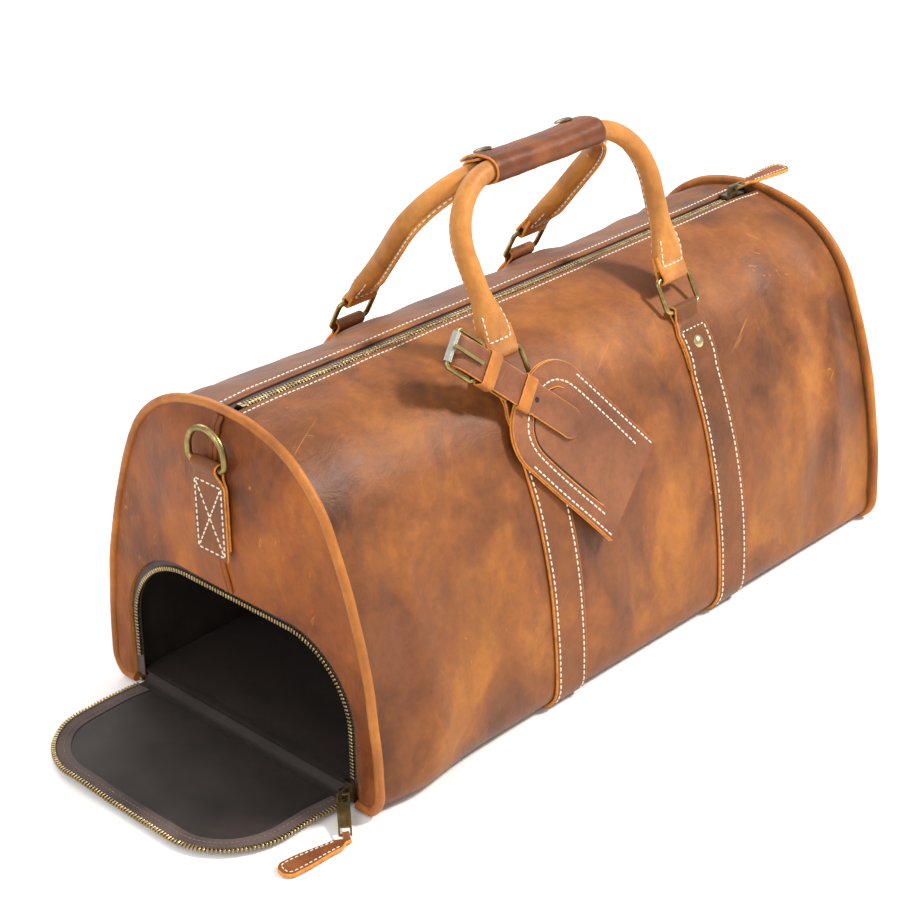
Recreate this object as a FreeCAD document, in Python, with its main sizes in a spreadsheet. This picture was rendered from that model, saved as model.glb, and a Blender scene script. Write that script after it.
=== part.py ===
# Leather duffel bag with an end shoe compartment.
# Frame: millimetres, +X along the bag towards its plain end, -Y the front,
# +Z up, origin at the middle of the bag's underside.
import FreeCAD, Part
import math
import os
import Sketcher
from FreeCAD import Placement, Rotation
V = FreeCAD.Vector

doc = FreeCAD.newDocument("duffel_bag")

# ---------------------------------------------------------------- sizes
SIZES = [
    ("bag_length", 540.0), ("bag_height", 246.0), ("wall", 3.5),
    ("crown_radius", 145.4), ("crown_angle", 14.7), ("shoulder_radius", 85.7), ("shoulder_angle", 51.6),
    ("side_angle", 23.8), ("corner_radius", 19.8),
    ("mouth_half", 7.5), ("base_seam_y", 40.0), ("strap_x", 88.0), ("strap_width", 31.0), ("strap_thick", 2.2),
    ("wire_dia", 3.6), ("ring_width", 34.0), ("ring_height", 24.0), ("ring_bar_y", 78.2), ("ring_bar_z", 223.6),
    ("ring_lean", 28.0), ("loop_width", 25.0),
    ("handle_dia", 14.0), ("core_dia", 10.0), ("handle_bend", 44.0), ("handle_top_half", 50.0),
    ("front_apex_y", -24.0), ("front_apex_z", 350.0), ("rear_apex_y", -9.0), ("rear_apex_z", 344.0),
    ("tab_width", 28.0), ("tab_thick", 5.0), ("tab_high", 24.0),
    ("grip_half", 54.0), ("grip_thick", 2.0), ("snap_x", 40.0), ("snap_dia", 13.0), ("stud_dia", 7.0),
    ("teeth_half", 104.0), ("teeth_high", 108.0), ("teeth_corner", 55.0),
    ("tunnel_depth", 305.0), ("tunnel_half", 112.0), ("tunnel_high", 116.0),
    ("board_length", 510.0), ("board_width", 196.0), ("board_thick", 2.4),
    ("dome_height", 10.0), ("dome_half", 62.0), ("dome_z", 182.0),
    ("dring_width", 34.0), ("dring_high", 25.0), ("dring_z", 213.0), ("dring_wire", 4.4),
    ("dtab_width", 31.0), ("dtab_low", 150.0), ("dtab_thick", 2.6),
    ("slider_rest_x", 244.0), ("zip_half", 257.0),
    ("tag_width", 80.0), ("tag_long", 122.0), ("tag_corner", 32.0), ("tag_thick", 1.8),
    ("tag_tilt", 37.5), ("tag_plane", 158.3), ("tag_lean", 70.0),
    ("tag_strap_width", 22.0), ("buckle_width", 27.0), ("buckle_long", 24.0), ("buckle_wire", 3.0),
    ("roller_dia", 5.4), ("roller_bore", 3.4), ("roller_long", 22.0),
    ("keeper_long", 10.0), ("rivet_dia", 9.0), ("pull_long", 52.0), ("pull_wide", 16.0), ("pull_thick", 3.0),
]
sheet = doc.addObject("Spreadsheet::Sheet", "Sizes")
for i, (alias, value) in enumerate(SIZES):
    sheet.set("A%d" % (i + 1), alias)
    sheet.set("B%d" % (i + 1), str(value))
    sheet.setAlias("B%d" % (i + 1), alias)
doc.recompute()


def S(alias):
    return float(sheet.get(alias))


NODES = []


def keep(obj, label):
    obj.Label = label
    NODES.append(obj)
    return obj


def feature(label, shape, placement=None):
    o = doc.addObject("Part::Feature", label)
    o.Shape = shape
    if placement is not None:
        o.Placement = placement
    return keep(o, label)


def box_shape(x0, x1, y0, y1, z0, z1):
    return Part.makeBox(x1 - x0, y1 - y0, z1 - z0, V(x0, y0, z0))


# ------------------------------------------------- PartDesign helpers
def new_body(name):
    return doc.addObject("PartDesign::Body", name)


def plane(body, role):
    return [f for f in body.Origin.OriginFeatures if f.Role == role][0]


def new_sketch(body, name, role, offset=0.0):
    sk = body.newObject("Sketcher::SketchObject", name)
    sk.AttachmentSupport = [(plane(body, role), "")]
    sk.MapMode = "FlatFace"
    sk.AttachmentOffset = Placement(V(0, 0, offset), Rotation())
    return sk


def sk_rect(sk, cx, cy, w, h, w_expr=None, h_expr=None):
    g = len(sk.Geometry)
    p = [V(cx - w / 2, cy - h / 2, 0), V(cx + w / 2, cy - h / 2, 0), V(cx + w / 2, cy + h / 2, 0), V(cx - w / 2, cy + h / 2, 0)]
    for i in range(4):
        sk.addGeometry(Part.LineSegment(p[i], p[(i + 1) % 4]), False)
    for i in range(4):
        sk.addConstraint(Sketcher.Constraint("Coincident", g + i, 2, g + (i + 1) % 4, 1))
    sk.addConstraint(Sketcher.Constraint("Horizontal", g))
    sk.addConstraint(Sketcher.Constraint("Horizontal", g + 2))
    sk.addConstraint(Sketcher.Constraint("Vertical", g + 1))
    sk.addConstraint(Sketcher.Constraint("Vertical", g + 3))
    a = sk.addConstraint(Sketcher.Constraint("DistanceX", g, 1, g, 2, w))
    b = sk.addConstraint(Sketcher.Constraint("DistanceY", g + 1, 1, g + 1, 2, h))
    c = sk.addConstraint(Sketcher.Constraint("DistanceX", -1, 1, g, 1, cx - w / 2))
    d = sk.addConstraint(Sketcher.Constraint("DistanceY", -1, 1, g, 1, cy - h / 2))
    if w_expr:
        sk.setExpression("Constraints[%d]" % a, w_expr)
        sk.setExpression("Constraints[%d]" % c, "%r - (%s) / 2" % (float(cx), w_expr))
    if h_expr:
        sk.setExpression("Constraints[%d]" % b, h_expr)
        sk.setExpression("Constraints[%d]" % d, "%r - (%s) / 2" % (float(cy), h_expr))


def sk_circle(sk, cx, cy, r, r_expr=None):
    g = sk.addGeometry(Part.Circle(V(cx, cy, 0), V(0, 0, 1), r), False)
    k = sk.addConstraint(Sketcher.Constraint("Radius", g, r))
    sk.addConstraint(Sketcher.Constraint("DistanceX", -1, 1, g, 3, cx))
    sk.addConstraint(Sketcher.Constraint("DistanceY", -1, 1, g, 3, cy))
    if r_expr:
        sk.setExpression("Constraints[%d]" % k, r_expr)


def sk_poly(sk, pts):
    g = len(sk.Geometry)
    n = len(pts)
    for i in range(n):
        sk.addGeometry(Part.LineSegment(V(pts[i][0], pts[i][1], 0), V(pts[(i + 1) % n][0], pts[(i + 1) % n][1], 0)), False)
    for i in range(n):
        sk.addConstraint(Sketcher.Constraint("Coincident", g + i, 2, g + (i + 1) % n, 1))


def pad(body, sk, name, length, expr=None, reverse=False):
    f = body.newObject("PartDesign::Pad", name)
    f.Profile = sk
    f.Length = length
    if expr:
        f.setExpression("Length", expr)
    f.Reversed = reverse
    sk.Visibility = False
    body.Tip = f
    doc.recompute()
    return f


def pocket(body, sk, name, length):
    before = body.Shape.Volume
    f = body.newObject("PartDesign::Pocket", name)
    f.Profile = sk
    f.Length = length
    f.Midplane = True
    body.Tip = f
    doc.recompute()
    if not body.Shape.Volume < before - 1e-6:
        raise RuntimeError("pocket cuts nothing: " + name)
    return f


# ----------------------------------------------------- the bag's section
HALF = S("bag_length") / 2
HEIGHT = S("bag_height")
A1 = math.radians(S("crown_angle"))
A2 = math.radians(S("shoulder_angle"))
A3 = math.radians(S("side_angle"))
TH = [0.0, A1, A1 + A2, A1 + A2 + A3, math.pi]
RC, RS, RK = S("crown_radius"), S("shoulder_radius"), S("corner_radius")
used = RC * (math.cos(TH[0]) - math.cos(TH[1])) + RS * (math.cos(TH[1]) - math.cos(TH[2])) + RK * (math.cos(TH[3]) - math.cos(TH[4]))
RSIDE = (HEIGHT - used) / (math.cos(TH[2]) - math.cos(TH[3]))


def half_section(d):
    """Right half of the section, offset outwards by d: arcs from the crown to the flat base."""
    y, z = 0.0, HEIGHT + d
    arcs = []
    for r, t0, t1 in zip((RC, RS, RSIDE, RK), TH[:-1], TH[1:]):
        r = r + d

        def at(t, y=y, z=z, r=r, t0=t0):
            return (y + r * (math.sin(t) - math.sin(t0)), z - r * (math.cos(t0) - math.cos(t)))
        arcs.append((at(t0), at((t0 + t1) / 2), at(t1)))
        y, z = at(t1)
    return arcs


def section_wire(d, x):
    edges = []
    arcs = half_section(d)
    for a, b, c in arcs:
        edges.append(Part.Arc(V(x, a[0], a[1]), V(x, b[0], b[1]), V(x, c[0], c[1])).toShape())
    yb, zb = arcs[-1][2]
    edges.append(Part.LineSegment(V(x, yb, zb), V(x, -yb, zb)).toShape())
    for a, b, c in reversed(arcs):
        edges.append(Part.Arc(V(x, -c[0], c[1]), V(x, -b[0], b[1]), V(x, -a[0], a[1])).toShape())
    return Part.Wire(edges)


def section_prism(d, x0, x1, z_low=None):
    s = Part.Face(section_wire(d, x0)).extrude(V(x1 - x0, 0, 0))
    if z_low is not None:
        s = s.common(box_shape(x0 - 1, x1 + 1, -300, 300, z_low, 400))
    return s


def arch_prism(o, x0, x1, z0, base=None):
    """Rounded-rectangle arch of the shoe opening, grown by o, from z0 upwards."""
    half = S("teeth_half") + o
    high = S("teeth_high") + o
    r = S("teeth_corner") + o
    k = r * (1 - math.sqrt(0.5))
    pts = [
        Part.LineSegment(V(x0, -half, z0), V(x0, -half, high - r)),
        Part.Arc(V(x0, -half, high - r), V(x0, -half + k, high - k), V(x0, -half + r, high)),
        Part.LineSegment(V(x0, -half + r, high), V(x0, half - r, high)),
        Part.Arc(V(x0, half - r, high), V(x0, half - k, high - k), V(x0, half, high - r)),
        Part.LineSegment(V(x0, half, high - r), V(x0, half, z0)),
        Part.LineSegment(V(x0, half, z0), V(x0, -half, z0)),
    ]
    return Part.Face(Part.Wire([p.toShape() for p in pts])).extrude(V(x1 - x0, 0, 0))


# ------------------------------------------------- front and rear panels
WALL = S("wall")
XE = HALF - 4.2
STRAP_X = S("strap_x")
SW = S("strap_width") / 2
shell = section_prism(0, -XE, XE).cut(section_prism(-WALL, -XE - 1, XE + 1))
MH = S("mouth_half")
shell = shell.cut(box_shape(-XE - 1, XE + 1, -MH, MH, 150, 300))
for sx in (-STRAP_X, STRAP_X):
    shell = shell.cut(box_shape(sx - SW - 0.15, sx + SW + 0.15, -130, 130, -1, 2.15))
# The front panel runs from the mouth down the front and under the base; the rear panel meets it
# in a seam on the underside, towards the rear.
SEAM = S("base_seam_y")
front_zone = box_shape(-300, 300, -200, 0, -5, 300).fuse(box_shape(-300, 300, -1, SEAM, -5, 20))
shell_front = shell.common(front_zone).removeSplitter()
feature("front_panel", shell_front)
feature("rear_panel", shell.cut(front_zone).removeSplitter())


# ------------------------------------------------------------ end panels
def end_panel(sign):
    x_out, x_in = sign * HALF, sign * (HALF - 3.5)
    p = section_prism(-1.5, min(x_out, x_in), max(x_out, x_in), 2.7)
    h, a = S("dome_height"), S("dome_half")
    rad = (a * a + h * h) / (2 * h)
    cx = sign * (HALF + h - rad)
    outer = Part.makeSphere(rad, V(cx, 0, S("dome_z")))
    inner = Part.makeSphere(rad - 3.5, V(cx, 0, S("dome_z")))
    slab = box_shape(*(sorted((x_out, sign * (HALF + h + 5)))), -a - 5, a + 5, S("dome_z") - a - 5, S("dome_z") + a + 5)
    cap = outer.common(slab)
    p = p.fuse(cap).cut(inner)
    # Inside the cap the inner sphere also opens the flat plate, which is what makes it a dome.
    if sign < 0:
        p = p.cut(arch_prism(7.0, -HALF - 2, -HALF + 6, -5))
    return p.removeSplitter()


feature("shoe_end_panel", end_panel(-1))
feature("plain_end_panel", end_panel(1))


def piping(sign):
    x0, x1 = sorted((sign * (HALF + 2.0), sign * (HALF - 3.8)))
    p = section_prism(2.2, x0, x1, 0).cut(section_prism(-1.2, x0 - 1, x1 + 1, 2.4))
    if sign < 0:
        p = p.cut(box_shape(x0 - 1, x1 + 1, -111, 111, -1, 3))
    return p


feature("piping_shoe_end", piping(-1))
feature("piping_plain_end", piping(1))

# ------------------------------------------------------- inner furniture
lin = section_prism(-WALL - 0.2, -XE + 1, XE - 1).cut(section_prism(-WALL - 1.0, -XE - 1, XE + 1))
lin = lin.cut(box_shape(-300, 300, -19, 19, 150, 300))
feature("main_lining", lin)

board = new_body("base_board")
sk = new_sketch(board, "board_outline", "XY_Plane", 4.9)
sk_rect(sk, 0, 0, S("board_length"), S("board_width"), "Sizes.board_length", "Sizes.board_width")
pad(board, sk, "board_pad", S("board_thick"), "Sizes.board_thick")
keep(board, "base_board")

TX0 = -HALF + 4.6
TX1 = TX0 + S("tunnel_depth")
TO = S("tunnel_half") - S("teeth_half")
tun = arch_prism(TO, TX0, TX1, 8.2).cut(arch_prism(TO - 1.2, TX0 - 1, TX1 - 1.2, 9.4))
feature("shoe_compartment_lining", tun)

# ------------------------------------------------------------- main zip
for name, ys in (("main_tape_front", -1), ("main_tape_rear", 1)):
    t = section_prism(-WALL - 0.15, -XE + 3, XE - 3).cut(section_prism(-WALL - 0.95, -XE, XE))
    y0, y1 = sorted((ys * 3.2, ys * 18.5))
    feature(name, t.common(box_shape(-300, 300, y0, y1, 150, 300)))
ZH = S("zip_half")
CH_Z0, CH_Z1 = HEIGHT - 5.6, HEIGHT - 2.6
for name, ys in (("main_teeth_front", -1), ("main_teeth_rear", 1)):
    o = doc.addObject("Part::Box", name)
    o.Length = 100
    o.setExpression("Length", "Sizes.slider_rest_x - 9.5 + Sizes.zip_half - 6")
    o.Width = 2.9
    o.Height = CH_Z1 - CH_Z0
    o.Placement = Placement(V(-ZH + 6, 0.1 if ys > 0 else -3.0, CH_Z0), Rotation())
    keep(o, name)
stops = [box_shape(x, x + 3.0, y - 1.4, y + 1.4, CH_Z0 - 0.2, CH_Z1 + 0.2) for x in (-ZH + 2.5, ZH - 5.5) for y in (-1.7, 1.7)]
feature("main_zip_stops", Part.makeCompound(stops))

SX = S("slider_rest_x")
sl = box_shape(SX - 9, SX + 7, -5, 5, CH_Z1 + 0.4, CH_Z1 + 2.6)
sl = sl.fuse(box_shape(SX - 9, SX + 7, -5, 5, CH_Z0 - 2.4, CH_Z0 - 1.0))
sl = sl.fuse(box_shape(SX - 1.5, SX + 6, -2.0, 2.0, CH_Z0 - 1.2, CH_Z1 + 0.6))
bridge = box_shape(SX - 5, SX + 4, -1.6, 1.6, CH_Z1 + 2.4, CH_Z1 + 9.4).cut(box_shape(SX - 3.4, SX + 2.4, -3, 3, CH_Z1 + 5.2, CH_Z1 + 8.3))
feature("main_slider", sl.fuse(bridge).removeSplitter())
# Pull: a flat brass link through the slider's bridge, then the leather pull on it.
PZ = CH_Z1 + 6.8
pl = box_shape(SX - 1.2, SX + 16.0, -4.2, 4.2, PZ - 0.6, PZ + 0.6)
pl = pl.cut(box_shape(SX, SX + 6.2, -2.0, 2.0, PZ - 2, PZ + 2)).cut(box_shape(SX + 9.0, SX + 14.8, -2.8, 2.8, PZ - 2, PZ + 2))
feature("main_pull_link", pl)
lp = new_body("main_leather_pull")
sk = new_sketch(lp, "pull_outline", "XY_Plane", PZ - 1.5)
L0 = SX + 12.4
PL, PW = S("pull_long"), S("pull_wide")
sk_poly(sk, [(L0, -2.3), (L0 + 4.4, -2.3), (L0 + 10, -5.4), (L0 + PL - 8, -PW / 2), (L0 + PL - 2.5, -PW / 2 + 1.6), (L0 + PL, -3.5),
             (L0 + PL, 3.5), (L0 + PL - 2.5, PW / 2 - 1.6), (L0 + PL - 8, PW / 2), (L0 + 10, 5.4), (L0 + 4.4, 2.3), (L0, 2.3)])
pad(lp, sk, "pull_pad", S("pull_thick"), "Sizes.pull_thick")
sk = new_sketch(lp, "pull_slot", "XZ_Plane", 0)
sk_rect(sk, L0 + 3.0, PZ, 2.2, 2.2)
pocket(lp, sk, "pull_slot_cut", 40)
keep(lp, "main_leather_pull")

# ------------------------------------------------------------ body straps
BY, BZ = S("ring_bar_y"), S("ring_bar_z")
ST = S("strap_thick")
WR = S("wire_dia") / 2
LW = S("loop_width") / 2


def strap(sx):
    x0, x1 = sx - SW, sx + SW
    s = section_prism(0.2 + ST, x0, x1, 0).cut(section_prism(0.2, x0 - 1, x1 + 1, 2.0))
    # The strap stops short of the ring bars; a narrower loop carries on round each bar.
    th = math.atan2(BY - 10, BZ - 150)
    s = s.cut(box_shape(x0 - 1, x1 + 1, -BY + 2.0, BY - 2.0, 150, 300))
    for ys in (-1, 1):
        loop = Part.makeCylinder(WR + 2.6, 2 * LW, V(sx - LW, ys * BY, BZ), V(1, 0, 0))
        nose = section_prism(0.2 + ST + 1.2, sx - LW, sx + LW, 150).cut(section_prism(0.2, sx - LW - 1, sx + LW + 1))
        nose = nose.common(box_shape(x0, x1, min(ys * (BY - 3), ys * (BY + 8)), max(ys * (BY - 3), ys * (BY + 8)), 150, 300))
        s = s.fuse(loop).fuse(nose)
    for ys in (-1, 1):
        s = s.cut(Part.makeCylinder(WR + 0.35, 60, V(sx - 30, ys * BY, BZ), V(1, 0, 0)))
        # side clearance for the ring's upright bars
        for k in (-1, 1):
            xa, xb = sorted((sx + k * (LW), sx + k * (LW + 6)))
            s = s.cut(box_shape(xa, xb, min(ys * (BY - 6), ys * (BY + 5.0)), max(ys * (BY - 6), ys * (BY + 5.0)), BZ - 6.5, BZ + 20))
    s = s.cut(section_prism(0.15, x0 - 2, x1 + 2, 2.0))
    return s.removeSplitter()


feature("body_strap_shoe_end", strap(-STRAP_X))
feature("body_strap_plain_end", strap(STRAP_X))

# Domed rivets, one near the top of each strap end.
riv = []
for sx in (-STRAP_X, STRAP_X):
    for ys in (-1, 1):
        t = math.radians(60.5)
        y, z = 0.0, HEIGHT
        d = 0.2 + ST
        ya = (RC + d) * math.sin(TH[1])
        za = HEIGHT + d - (RC + d) * (1 - math.cos(TH[1]))
        yy = ya + (RS + d) * (math.sin(t) - math.sin(TH[1]))
        zz = za - (RS + d) * (math.cos(TH[1]) - math.cos(t))
        nrm = V(0, ys * math.sin(t), math.cos(t))
        base = V(sx, ys * yy, zz) + nrm * 0.1
        c = Part.makeCylinder(S("rivet_dia") / 2, 0.9, base, nrm)
        dome = Part.makeSphere(9.0, base + nrm * (0.9 + 0.9 - 9.0)).common(Part.makeCylinder(S("rivet_dia") / 2, 3.0, base + nrm * 0.4, nrm))
        riv.append(c.fuse(dome).removeSplitter())
feature("strap_rivets", Part.makeCompound(riv))


# ------------------------------------------------------------------ rings
def ring(name, sx, ys):
    """Rectangular wire ring: a rounded rectangle path with the wire's circle swept round it."""
    b = new_body(name)
    w, h, r = S("ring_width") / 2, S("ring_height"), 4.0
    path = new_sketch(b, name + "_path", "XZ_Plane")
    pts = [(-w + r, 0), (w - r, 0), (w, r), (w, h - r), (w - r, h), (-w + r, h), (-w, h - r), (-w, r)]
    cen = [(w - r, r), (w - r, h - r), (-w + r, h - r), (-w + r, r)]
    geo = []
    for i in range(4):
        a, c = pts[2 * i], pts[2 * i + 1]
        geo.append(Part.LineSegment(V(a[0], a[1], 0), V(c[0], c[1], 0)))
        e = pts[(2 * i + 2) % 8]
        m = cen[i]
        mid = V((c[0] + e[0]) / 2 - m[0], (c[1] + e[1]) / 2 - m[1], 0)
        mid.normalize()
        geo.append(Part.Arc(V(c[0], c[1], 0), V(m[0], m[1], 0) + mid * r, V(e[0], e[1], 0)))
    for g in geo:
        path.addGeometry(g, False)
    for i in range(8):
        path.addConstraint(Sketcher.Constraint("Coincident", i, 2, (i + 1) % 8, 1))
    prof = new_sketch(b, name + "_wire", "YZ_Plane")
    sk_circle(prof, 0, 0, S("wire_dia") / 2, "Sizes.wire_dia / 2")
    doc.recompute()
    p = b.newObject("PartDesign::AdditivePipe", name + "_sweep")
    p.Profile = prof
    p.Spine = (path, ["Edge%d" % (k + 1) for k in range(8)])
    b.Tip = p
    doc.recompute()
    b.Placement = Placement(V(sx, ys * BY, BZ), Rotation(V(1, 0, 0), S("ring_lean") * (-1 if ys < 0 else 1)))
    return keep(b, name)


ring("ring_front_shoe_end", -STRAP_X, -1)
ring("ring_front_plain_end", STRAP_X, -1)
ring("ring_rear_shoe_end", -STRAP_X, 1)
ring("ring_rear_plain_end", STRAP_X, 1)
LEAN = math.radians(S("ring_lean"))
UY = BY - S("ring_height") * math.sin(LEAN)
UZ = BZ + S("ring_height") * math.cos(LEAN)


# ---------------------------------------------------------------- handles
def handle(tag, ys, ay, az):
    """Rolled handle: flat tabs round the ring bars, straight legs, bends and a straight grip, in one leaning plane."""
    p0 = V(0, ys * UY, UZ)
    up = V(0, ay, az) - p0
    top = up.Length
    up.normalize()
    xs = V(1, 0, 0)
    r = S("handle_bend")
    th = S("handle_top_half")
    # leg heading that brings the foot of the leg to the ring's centre
    lo, hi = math.radians(88), math.radians(100)
    for _ in range(60):
        a = (lo + hi) / 2
        x1 = th + r * math.sin(a)
        h1 = top - r * (1 - math.cos(a))
        foot = x1 + h1 * math.cos(a) / math.sin(a)
        if foot > S("strap_x"):
            lo = a
        else:
            hi = a

    def P(x, h_):
        return p0 + xs * x + up * h_
    a2 = a / 2
    low = 8.0
    fx = x1 + (h1 - low) * math.cos(a) / math.sin(a)
    e = []
    for s_ in (-1, 1):
        e.append((s_, P(s_ * fx, low), P(s_ * x1, h1), P(s_ * (th + r * math.sin(a2)), top - r * (1 - math.cos(a2))), P(s_ * th, top)))
    path = Part.Wire([
        Part.LineSegment(e[0][1], e[0][2]).toShape(), Part.Arc(e[0][2], e[0][3], e[0][4]).toShape(),
        Part.LineSegment(e[0][4], e[1][4]).toShape(), Part.Arc(e[1][4], e[1][3], e[1][2]).toShape(),
        Part.LineSegment(e[1][2], e[1][1]).toShape()])
    start = e[0][1]
    d = (e[0][2] - e[0][1]).normalize()

    def tube(dia):
        c = Part.Wire([Part.Circle(start, d, dia / 2).toShape()])
        t = path.makePipeShell([c], True, False)
        return t
    outer = tube(S("handle_dia"))
    core = tube(S("core_dia"))
    nrm = xs.cross(up)
    tw, tt, thh = S("tab_width"), S("tab_thick"), S("tab_high")
    rot = Placement(p0, Rotation(xs, up, nrm, "XYZ"))
    whole = outer
    cut_low = Part.makeBox(400, 16, 60, V(-200, -10, -30))
    cut_low.Placement = rot
    for s_ in (-1, 1):
        t = Part.makeBox(tw, thh, tt, V(s_ * S("strap_x") - tw / 2, 0, -tt / 2))
        k = Part.makeCylinder(tt / 2 + 1.6, tw, V(s_ * S("strap_x") - tw / 2, 0, 0), V(1, 0, 0))
        hump = Part.makeCone(tt / 2 + 0.2, S("handle_dia") / 2, 14, V(s_ * S("strap_x"), 8, 0), V(0, 1, 0))
        t = t.fuse(k).fuse(hump)
        t.Placement = rot
        whole = whole.fuse(t)
    inner_low = Part.makeBox(400, 24, 60, V(-200, -2, -30))
    inner_low.Placement = rot
    core = core.cut(inner_low)
    whole = whole.cut(core)
    for s_ in (-1, 1):
        hole = Part.makeCylinder(WR + 0.35, 60, V(s_ * S("strap_x") - 30, 0, 0), V(1, 0, 0))
        hole.Placement = rot
        whole = whole.cut(hole)
    feature("handle_" + tag, whole.removeSplitter())
    feature("handle_%s_core" % tag, core)


handle("front", -1, S("front_apex_y"), S("front_apex_z"))
handle("rear", 1, S("rear_apex_y"), S("rear_apex_z"))

# -------------------------------------------------------------- grip wrap
FC = V(0, S("front_apex_y"), S("front_apex_z"))
RCn = V(0, S("rear_apex_y"), S("rear_apex_z"))
tvec = RCn - FC
GAP = tvec.Length
tvec.normalize()
nvec = V(1, 0, 0).cross(tvec)
GROT = Placement(FC, Rotation(V(1, 0, 0), tvec, nvec, "XYZ"))
GH = S("grip_half")
G0 = S("handle_dia") / 2 + 0.4
G1 = G0 + S("grip_thick")


def stadium(r):
    s = Part.makeCylinder(r, 2 * GH, V(-GH, 0, 0), V(1, 0, 0))
    s = s.fuse(Part.makeCylinder(r, 2 * GH, V(-GH, GAP, 0), V(1, 0, 0)))
    return s.fuse(Part.makeBox(2 * GH, GAP, 2 * r, V(-GH, 0, -r)))


inner = Part.makeCylinder(G0, 4 * GH, V(-2 * GH, 0, 0), V(1, 0, 0)).fuse(Part.makeCylinder(G0, 4 * GH, V(-2 * GH, GAP, 0), V(1, 0, 0))).fuse(Part.makeBox(4 * GH, GAP, 2 * G0, V(-2 * GH, 0, -G0)))
g = stadium(G1).cut(inner)
g = g.cut(Part.makeBox(4 * GH, GAP * 0.55 + 6, 20, V(-2 * GH, -6, 0.5)))
SNX = S("snap_x")
SNT = GAP * 0.62 + 4.5
for sx in (-SNX, SNX):
    g = g.cut(Part.makeCylinder(S("stud_dia") / 2 + 0.1, 8, V(sx, SNT, G0 - 3), V(0, 0, 1)))
g = g.removeSplitter()
feature("grip_wrap", g, GROT)

f = Part.makeBox(2 * GH, SNT + 9 + 5.5, S("grip_thick"), V(-GH, -5.5, G1 + 0.35))
feature("grip_flap", f, GROT)

caps = new_body("grip_snap_caps")
sk = new_sketch(caps, "cap_outline", "XY_Plane", G1 + 0.35 + S("grip_thick") + 0.05)
sk_circle(sk, -SNX, SNT, S("snap_dia") / 2, "Sizes.snap_dia / 2")
sk_circle(sk, SNX, SNT, S("snap_dia") / 2, "Sizes.snap_dia / 2")
pd = pad(caps, sk, "cap_pad", 1.9)
caps.Placement = GROT
try:
    fl = caps.newObject("PartDesign::Fillet", "cap_round")
    edges = []
    for i, e_ in enumerate(pd.Shape.Edges):
        if e_.Curve.__class__.__name__ == "Circle" and e_.BoundBox.ZLength < 1e9:
            zz = e_.Curve.Center.z
            if zz > G1 + 0.35 + S("grip_thick") + 1.0:
                edges.append("Edge%d" % (i + 1))
    fl.Base = (pd, edges)
    fl.Radius = 1.2
    caps.Tip = fl
    doc.recompute()
    if not fl.Shape.isValid() or "Invalid" in fl.State or fl.Shape.Volume < 10:
        raise RuntimeError("cap fillet")
except RuntimeError:
    caps.removeObject(fl)
    doc.removeObject(fl.Name)
    caps.Tip = pd
    doc.recompute()
keep(caps, "grip_snap_caps")
studs = [Part.makeCylinder(S("stud_dia") / 2, G1 + 0.25 - G0 - 0.1, V(sx, SNT, G0 + 0.1), V(0, 0, 1)) for sx in (-SNX, SNX)]
feature("grip_snap_studs", Part.makeCompound(studs), GROT)


# ------------------------------------------------------- D-rings and tabs
def dring(name, sign):
    b = new_body(name)
    w, hgt = S("dring_width") / 2, S("dring_high")
    r = 5.0
    path = new_sketch(b, name + "_path", "XZ_Plane")
    # flat bar at the bottom, tight lower corners, one large arc over the top
    straight = hgt - w - 0.0
    geo = [Part.LineSegment(V(-w + r, 0, 0), V(w - r, 0, 0)),
           Part.Arc(V(w - r, 0, 0), V(w - r + r * math.sin(math.pi / 4), r - r * math.cos(math.pi / 4), 0), V(w, r, 0)),
           Part.LineSegment(V(w, r, 0), V(w, straight, 0)),
           Part.Arc(V(w, straight, 0), V(0, hgt, 0), V(-w, straight, 0)),
           Part.LineSegment(V(-w, straight, 0), V(-w, r, 0)),
           Part.Arc(V(-w, r, 0), V(-w + r - r * math.sin(math.pi / 4), r - r * math.cos(math.pi / 4), 0), V(-w + r, 0, 0))]
    for g_ in geo:
        path.addGeometry(g_, False)
    for i in range(6):
        path.addConstraint(Sketcher.Constraint("Coincident", i, 2, (i + 1) % 6, 1))
    prof = new_sketch(b, name + "_wire", "YZ_Plane")
    sk_circle(prof, 0, 0, S("dring_wire") / 2, "Sizes.dring_wire / 2")
    doc.recompute()
    p = b.newObject("PartDesign::AdditivePipe", name + "_sweep")
    p.Profile = prof
    p.Spine = (path, ["Edge%d" % (k + 1) for k in range(6)])
    b.Tip = p
    doc.recompute()
    b.Placement = Placement(V(sign * DX, 0, S("dring_z")), Rotation(V(0, 0, 1), 90))
    return keep(b, name)


XD = HALF + S("dome_height")          # outermost point of the domed end
DX = XD + 0.6 + S("dring_wire") / 2 + 0.8
dring("d_ring_shoe_end", -1)
dring("d_ring_plain_end", 1)


def dtab(name, sign):
    w = S("dtab_width") / 2
    zr = S("dring_z")
    rr = S("dring_wire") / 2
    x0, x1 = sorted((sign * (XD + 0.3), sign * (XD + 0.3 + S("dtab_thick"))))
    lw = S("dring_width") / 2 - 5.6
    t_ = box_shape(x0, x1, -w, w, S("dtab_low"), zr - 8)
    neck = box_shape(x0, x1, -lw, lw, zr - 8.5, zr)
    cyl = Part.makeCylinder(rr + 1.9, 2 * lw, V(sign * DX, -lw, zr), V(0, 1, 0))
    web = box_shape(*sorted((sign * (XD + 0.3), sign * (DX + rr + 1.9))), -lw, lw, zr - 5.5, zr)
    t_ = t_.fuse(neck).fuse(cyl).fuse(web)
    t_ = t_.cut(Part.makeCylinder(rr + 0.35, 80, V(sign * DX, -40, zr), V(0, 1, 0)))
    # The tab lies on the dome and never reaches into it.
    t_ = t_.cut(box_shape(*sorted((sign * (HALF - 20), sign * (XD + 0.25))), -50, 50, 100, 260))
    return feature(name, t_.removeSplitter())


dtab("d_ring_tab_shoe_end", -1)
dtab("d_ring_tab_plain_end", 1)

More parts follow.
